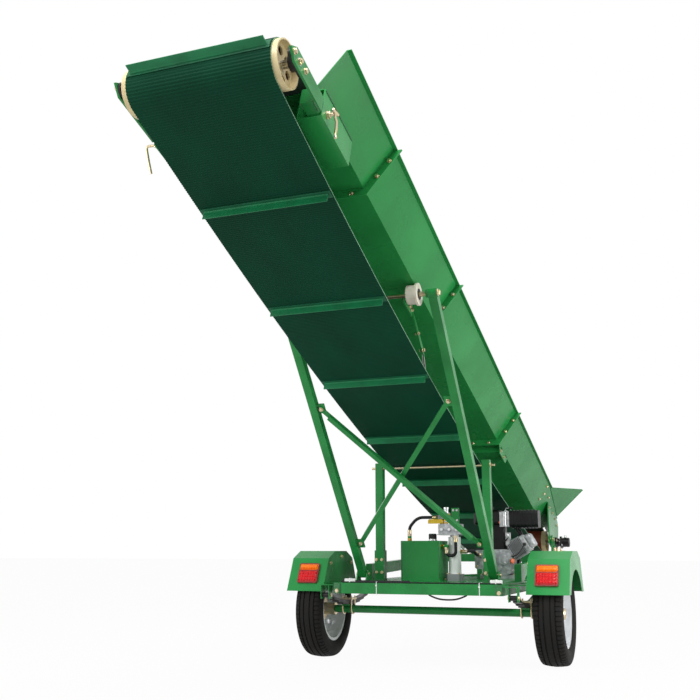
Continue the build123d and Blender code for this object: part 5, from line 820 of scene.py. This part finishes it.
# Carburettor with its fuel line from the tank's shroud, and the plug's lead
CARBURETTOR_Y, CARBURETTOR = 702, ((338, 712), (366, 726), (366, 800), (338, 800))
FUEL_LINE = ((318, 737, 745), (321, 716, 738), (332, 696, 740), (346, 694, 752), (352, 704, 764))
PLUG_LEAD = ((474, 650, 720), (474, 640, 716), (468, 633, 700), (450, 633, 672), (425, 640, 650),
             (404, 652, 641), (384, 664, 640))
engine.plate([(x, CARBURETTOR_Y, z) for x, z in CARBURETTOR], AHEAD * 42, SILVER)
engine.turned((352, CARBURETTOR_Y, 778), -AHEAD, ((13, 0), (13, 10), (10, 12), (10, 18), (3, 19)), 16, BRIGHT)
engine.tube(FUEL_LINE, 4.5, 10, BLACK)
engine.tube(PLUG_LEAD, 3.8, 10, BLACK)
# Bolts of the crankcase cover and the rocker cover
COVER_Y, COVER_CIRCLE = 650, 64
ROCKER_AT, ROCKER_UP, ROCKER_ALONG = 145, 45, 50
for turn in map(radians, (-60, -20, 20, 60)):
    seat = (CRANK_X + COVER_CIRCLE * cos(turn), COVER_Y, CRANK_Z + COVER_CIRCLE * sin(turn))
    bolt(engine, seat, -AHEAD, M6, BRIGHT)
for u in (-ROCKER_UP, ROCKER_UP):
    for v in (-ROCKER_ALONG, ROCKER_ALONG):
        bolt(engine, BORE_FOOT + BORE * ROCKER_AT + BORE_UP * u + AHEAD * v, BORE, M6, BRIGHT, False)
# Spark plug with its cap, oil cap and fuel cap
plug = BORE_FOOT + BORE * 128 - AHEAD * 58 - BORE_UP * 10
engine.turned(plug, -AHEAD, ((10, 0), (10, 8), (6, 9), (6, 22)), HEX, BRIGHT)
engine.turned(plug - AHEAD * 20, -AHEAD, ((10, 0), (11, 6), (11, 26), (9, 32), (3, 34)), 16, BLACK)
engine.turned((381, 663, 608), ACROSS - AHEAD,
              ((9, 0), (9, 6), (17, 8), (18, 11), (18, 18), (16, 20)), 8, ORANGE)
engine.turned((210, 800, 958), UP, ((32, 0), (33, 3), (33, 20), (31, 25), (20, 27)), 24, BLACK)
# Control bracket with its pipe, buttons, throttle wire and knob
CONTROL_Y, CONTROL = 700, ((300, 840), (372, 840), (372, 940), (352, 952), (300, 940))
THROTTLE_END = (372, 690, 968)
engine.plate([(x, CONTROL_Y, z) for x, z in CONTROL], AHEAD * 4, SILVER)
engine.turned((336, CONTROL_Y, 842), UP,
              ((15, 0), (15, 6), (12, 8), (12, 84), (15, 86), (15, 98), (10, 102)), 22, SILVER)
for x, z in ((231, 914), (300, 870)):
    engine.turned((x, 710, z), -AHEAD, ((9, 0), (9, 5), (7, 7), (2, 7.5)), 14, ORANGE)
engine.tube(((336, 702, 938), (345, 700, 958), (352, 690, 966), THROTTLE_END), 3.2, 8, BRIGHT)
engine.turned(THROTTLE_END, ACROSS, ((6, 0), (6.5, 5), (6.5, 20), (5, 24)), 12, BLACK)
# Starter grip on its cord's guide
STARTER_Z = 700
engine.turned((CRANK_X, 953, STARTER_Z), AHEAD, ((8, 0), (8, 10), (6, 12)), 14, BLACK)
engine.tube([(x, y, STARTER_Z) for x, y in ((248, 970), (262, 968), (280, 967), (298, 968), (312, 970))],
            [6, 8, 8.5, 8, 6], 12, BLACK)
engine_finishes = (gasket_white, bright_zinc, signal_orange, moulded_black, silver_sheet)
engine.piece("engine_trim", "chassis", engine_finishes)

# Lighting harness on the rear beam: corrugated conduit, cables, plug connectors and straps
CONDUIT_X, CONDUIT_Y, CONDUIT_Z = range(-486, -41, 4), -300, 493
CONDUIT_HIGH, CONDUIT_LOW = 7.6, 6.2
PLUG_X, PLUG_HALVES, PLUG_LONG = (-460, 452), (0, 36), 32
PLUG_BODY = ((-313, 489), (-313, 507), (-310, 510), (-290, 510), (-287, 507), (-287, 489))
PLUG_COLLAR = ((-316, 488), (-316, 513), (-284, 513), (-284, 488))
STRAP_X, STRAP_WIDE, STRAP_HALF, STRAP_GROWTH = (-251, 387), 5, 32.8, 1.02
BEAM_Y, BEAM_Z, RAISE_OUT, RAISE_IN = -290, 453, 8, 7
BUCKLE = ((-2, 466), (-2, 476), (7, 476), (7, 466))
harness = Stock()
harness.tube([(x, CONDUIT_Y, CONDUIT_Z) for x in CONDUIT_X],
             [CONDUIT_HIGH if k % 2 else CONDUIT_LOW for k in range(len(CONDUIT_X))], 12)
harness.tube([(x, -312, 489.5) for x in (-470, -100, 300, 520)], 4.2)
harness.tube([(x, -286, 489) for x in (-60, 200, 505)], 3.8)
for x in PLUG_X:
    for step in PLUG_HALVES:
        harness.plate([(x + step, y, z) for y, z in PLUG_BODY], ACROSS * PLUG_LONG, 1)
    harness.plate([(x + 30, y, z) for y, z in PLUG_COLLAR], ACROSS * 8, 1)
for x in STRAP_X:
    strap = [(y * STRAP_HALF, z * STRAP_HALF, z > 0) for y, z in ((-1, -1), (1, -1), (1, 1), (-1, 1))]
    outer = [Vector((x, BEAM_Y + y * STRAP_GROWTH, BEAM_Z + z * STRAP_GROWTH + RAISE_OUT * top))
             for y, z, top in strap]
    inner = [Vector((x, BEAM_Y + y, BEAM_Z + z + RAISE_IN * top)) for y, z, top in strap]
    wide = ACROSS * STRAP_WIDE
    harness.skin([[a, b, b + wide, a + wide] for a, b in zip(outer, inner)], 1, loop=True)
    # The strap's buckle, on the rear face
    harness.plate([(x + u, BEAM_REAR - 1, z) for u, z in BUCKLE], -AHEAD * 6, 1)
harness.piece("lighting_harness", "chassis", (moulded_black, connector_white))

# Slack of the lamp cable: it leaves the beam's underside, hangs a little and goes back in; in metres
SLACK_POINTS = ((0.077, -0.305, 0.421), (0.120, -0.305, 0.399), (0.193, -0.305, 0.392),
                (0.266, -0.305, 0.399), (0.309, -0.305, 0.421))
SLACK_LENGTH, SLACK_DIAMETER = 0.241, 0.010
slack_curve = bpy.data.curves.new("lamp_cable_slack", "CURVE")
slack_curve.dimensions = "3D"
slack_curve.bevel_depth = SLACK_DIAMETER / 2
slack_line = slack_curve.splines.new("NURBS")
slack_line.points.add(len(SLACK_POINTS) - 1)
for point, place in zip(slack_line.points, SLACK_POINTS):
    point.co = (*place, 1.0)
slack_line.order_u = 3
slack_line.use_endpoint_u = True
slack_curve.materials.append(moulded_black)
slack = add_object("lamp_cable_slack", slack_curve)
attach(slack, "chassis")

# Jack: side crank with its grip; coupler: latch lever on top
JACK_X, JACK_Y, CRANK_HIGH, CRANK_LOW, GRIP_OUT = 561.6, 1500, 668, 540, 82
# Each bend of the crank: out from the jack, and height
CRANK_BENDS = ((58, CRANK_HIGH), (60, 640), (60, 560), (66, 546), (GRIP_OUT, CRANK_LOW))
jack = Stock()
jack.turned((JACK_X + 27, JACK_Y, CRANK_HIGH), ACROSS, ((16, 0), (16, 8), (9, 10), (9, 34)), 18)
jack.tube([(JACK_X + out, JACK_Y, z) for out, z in CRANK_BENDS], 7, 12)
jack.turned((JACK_X + GRIP_OUT, JACK_Y, CRANK_LOW), ACROSS,
            ((9, 0), (12, 6), (12.5, 40), (11, 78), (6, 84)), 16, 1)
jack.tube(((0, 2900, 488), (0, 2925, 502), (0, 2960, 505), (0, 2990, 498)), [5, 8, 9, 6], 12)
jack.turned((0, 2945, 478), UP, ((11, 0), (11, 8), (9, 10)), 16)
jack.piece("jack_crank_and_latch", "chassis", (yellow_zinc, moulded_black))

# Stage, in metres: pale floor, soft studio light and the camera at the photograph's angle
FLOOR_REACH, FLOOR_GLOW, SKY_LEVEL = 60.0, 0.96, 0.56
floor_corners = [(x * FLOOR_REACH, y * FLOOR_REACH, 0) for x, y in ((-1, -1), (1, -1), (1, 1), (-1, 1))]
floor_mesh = bpy.data.meshes.new("floor")
floor_mesh.from_pydata(floor_corners, [], [(0, 1, 2, 3)])
floor = add_object("floor", floor_mesh)


def seen_directly(owner):
    """1 for rays that show the backdrop itself: camera, glossy and transmission rays."""
    path = add_node(owner, "ShaderNodeLightPath").outputs
    pair = maths(owner, "MAXIMUM", path["Is Camera Ray"], path["Is Glossy Ray"])
    return maths(owner, "MAXIMUM", pair, path["Is Transmission Ray"])


# Pale paper: matt, and lit from itself where it is seen, so that it stays white.
paper = bpy.data.materials.new("pale_paper_floor")
paper.use_nodes = True
paper_shader = paper.node_tree.nodes["Principled BSDF"]
paper_shader.inputs["Base Color"].default_value = colour("#c2c2c0")
paper_shader.inputs["Roughness"].default_value = 0.95
glow = add_node(paper, "ShaderNodeEmission", {"Color": (1, 1, 1, 1), "Strength": 1.0})
glow_share = maths(paper, "MULTIPLY", seen_directly(paper), FLOOR_GLOW)
paper_mix = add_node(paper, "ShaderNodeMixShader",
                     {0: glow_share, 1: paper_shader.outputs[0], 2: glow.outputs[0]})
paper.node_tree.links.new(paper_mix.outputs[0], paper.node_tree.nodes["Material Output"].inputs["Surface"])
floor_mesh.materials.append(paper)

world = bpy.data.worlds.new("studio")
scene.world = world
world.use_nodes = True
backdrop = world.node_tree.nodes["Background"]
backdrop.inputs["Color"].default_value = (1, 1, 1, 1)
level = add_node(world, "ShaderNodeMapRange",
                 {"Value": seen_directly(world), "To Min": SKY_LEVEL, "To Max": 1.0})
world.node_tree.links.new(level.outputs[0], backdrop.inputs["Strength"])

# Each light: name, place, aim, size, watts
LIGHTS = (("key", (4.6, -0.6, 1.0), (0.5, 0.6, 1.0), 2.4, 110),
          ("top", (1.5, -3.5, 7), (0, 0, 0.8), 4, 380),
          ("fill", (-5, -5, 2.0), (-0.3, 0, 0.9), 3, 170),
          ("head", (-0.6, -5.6, 5.0), (0, -3.0, 2.6), 1.6, 100))
for light_name, place, aim, size, watts in LIGHTS:
    light_data = bpy.data.lights.new(light_name, "AREA")
    light_data.size = size
    light_data.energy = watts
    light = add_object(light_name, light_data)
    light.location = place
    light.rotation_euler = (Vector(aim) - Vector(place)).to_track_quat("-Z", "Y").to_euler()

# The camera fitted to the photograph, with its focal length in picture widths
SENSOR, FOCAL_WIDTHS = 36.0, 924.25 / 700
CAMERA_PLACE, CAMERA_RISE, CAMERA_TURN = (1.708, -5.781, 0.682), 12.21, 21.30
camera_data = bpy.data.cameras.new("camera")
camera_data.sensor_width = SENSOR
camera_data.lens = SENSOR * FOCAL_WIDTHS
camera = add_object("camera", camera_data)
camera.location = CAMERA_PLACE
camera.rotation_euler = (radians(90 + CAMERA_RISE), 0, radians(CAMERA_TURN))
scene.camera = camera
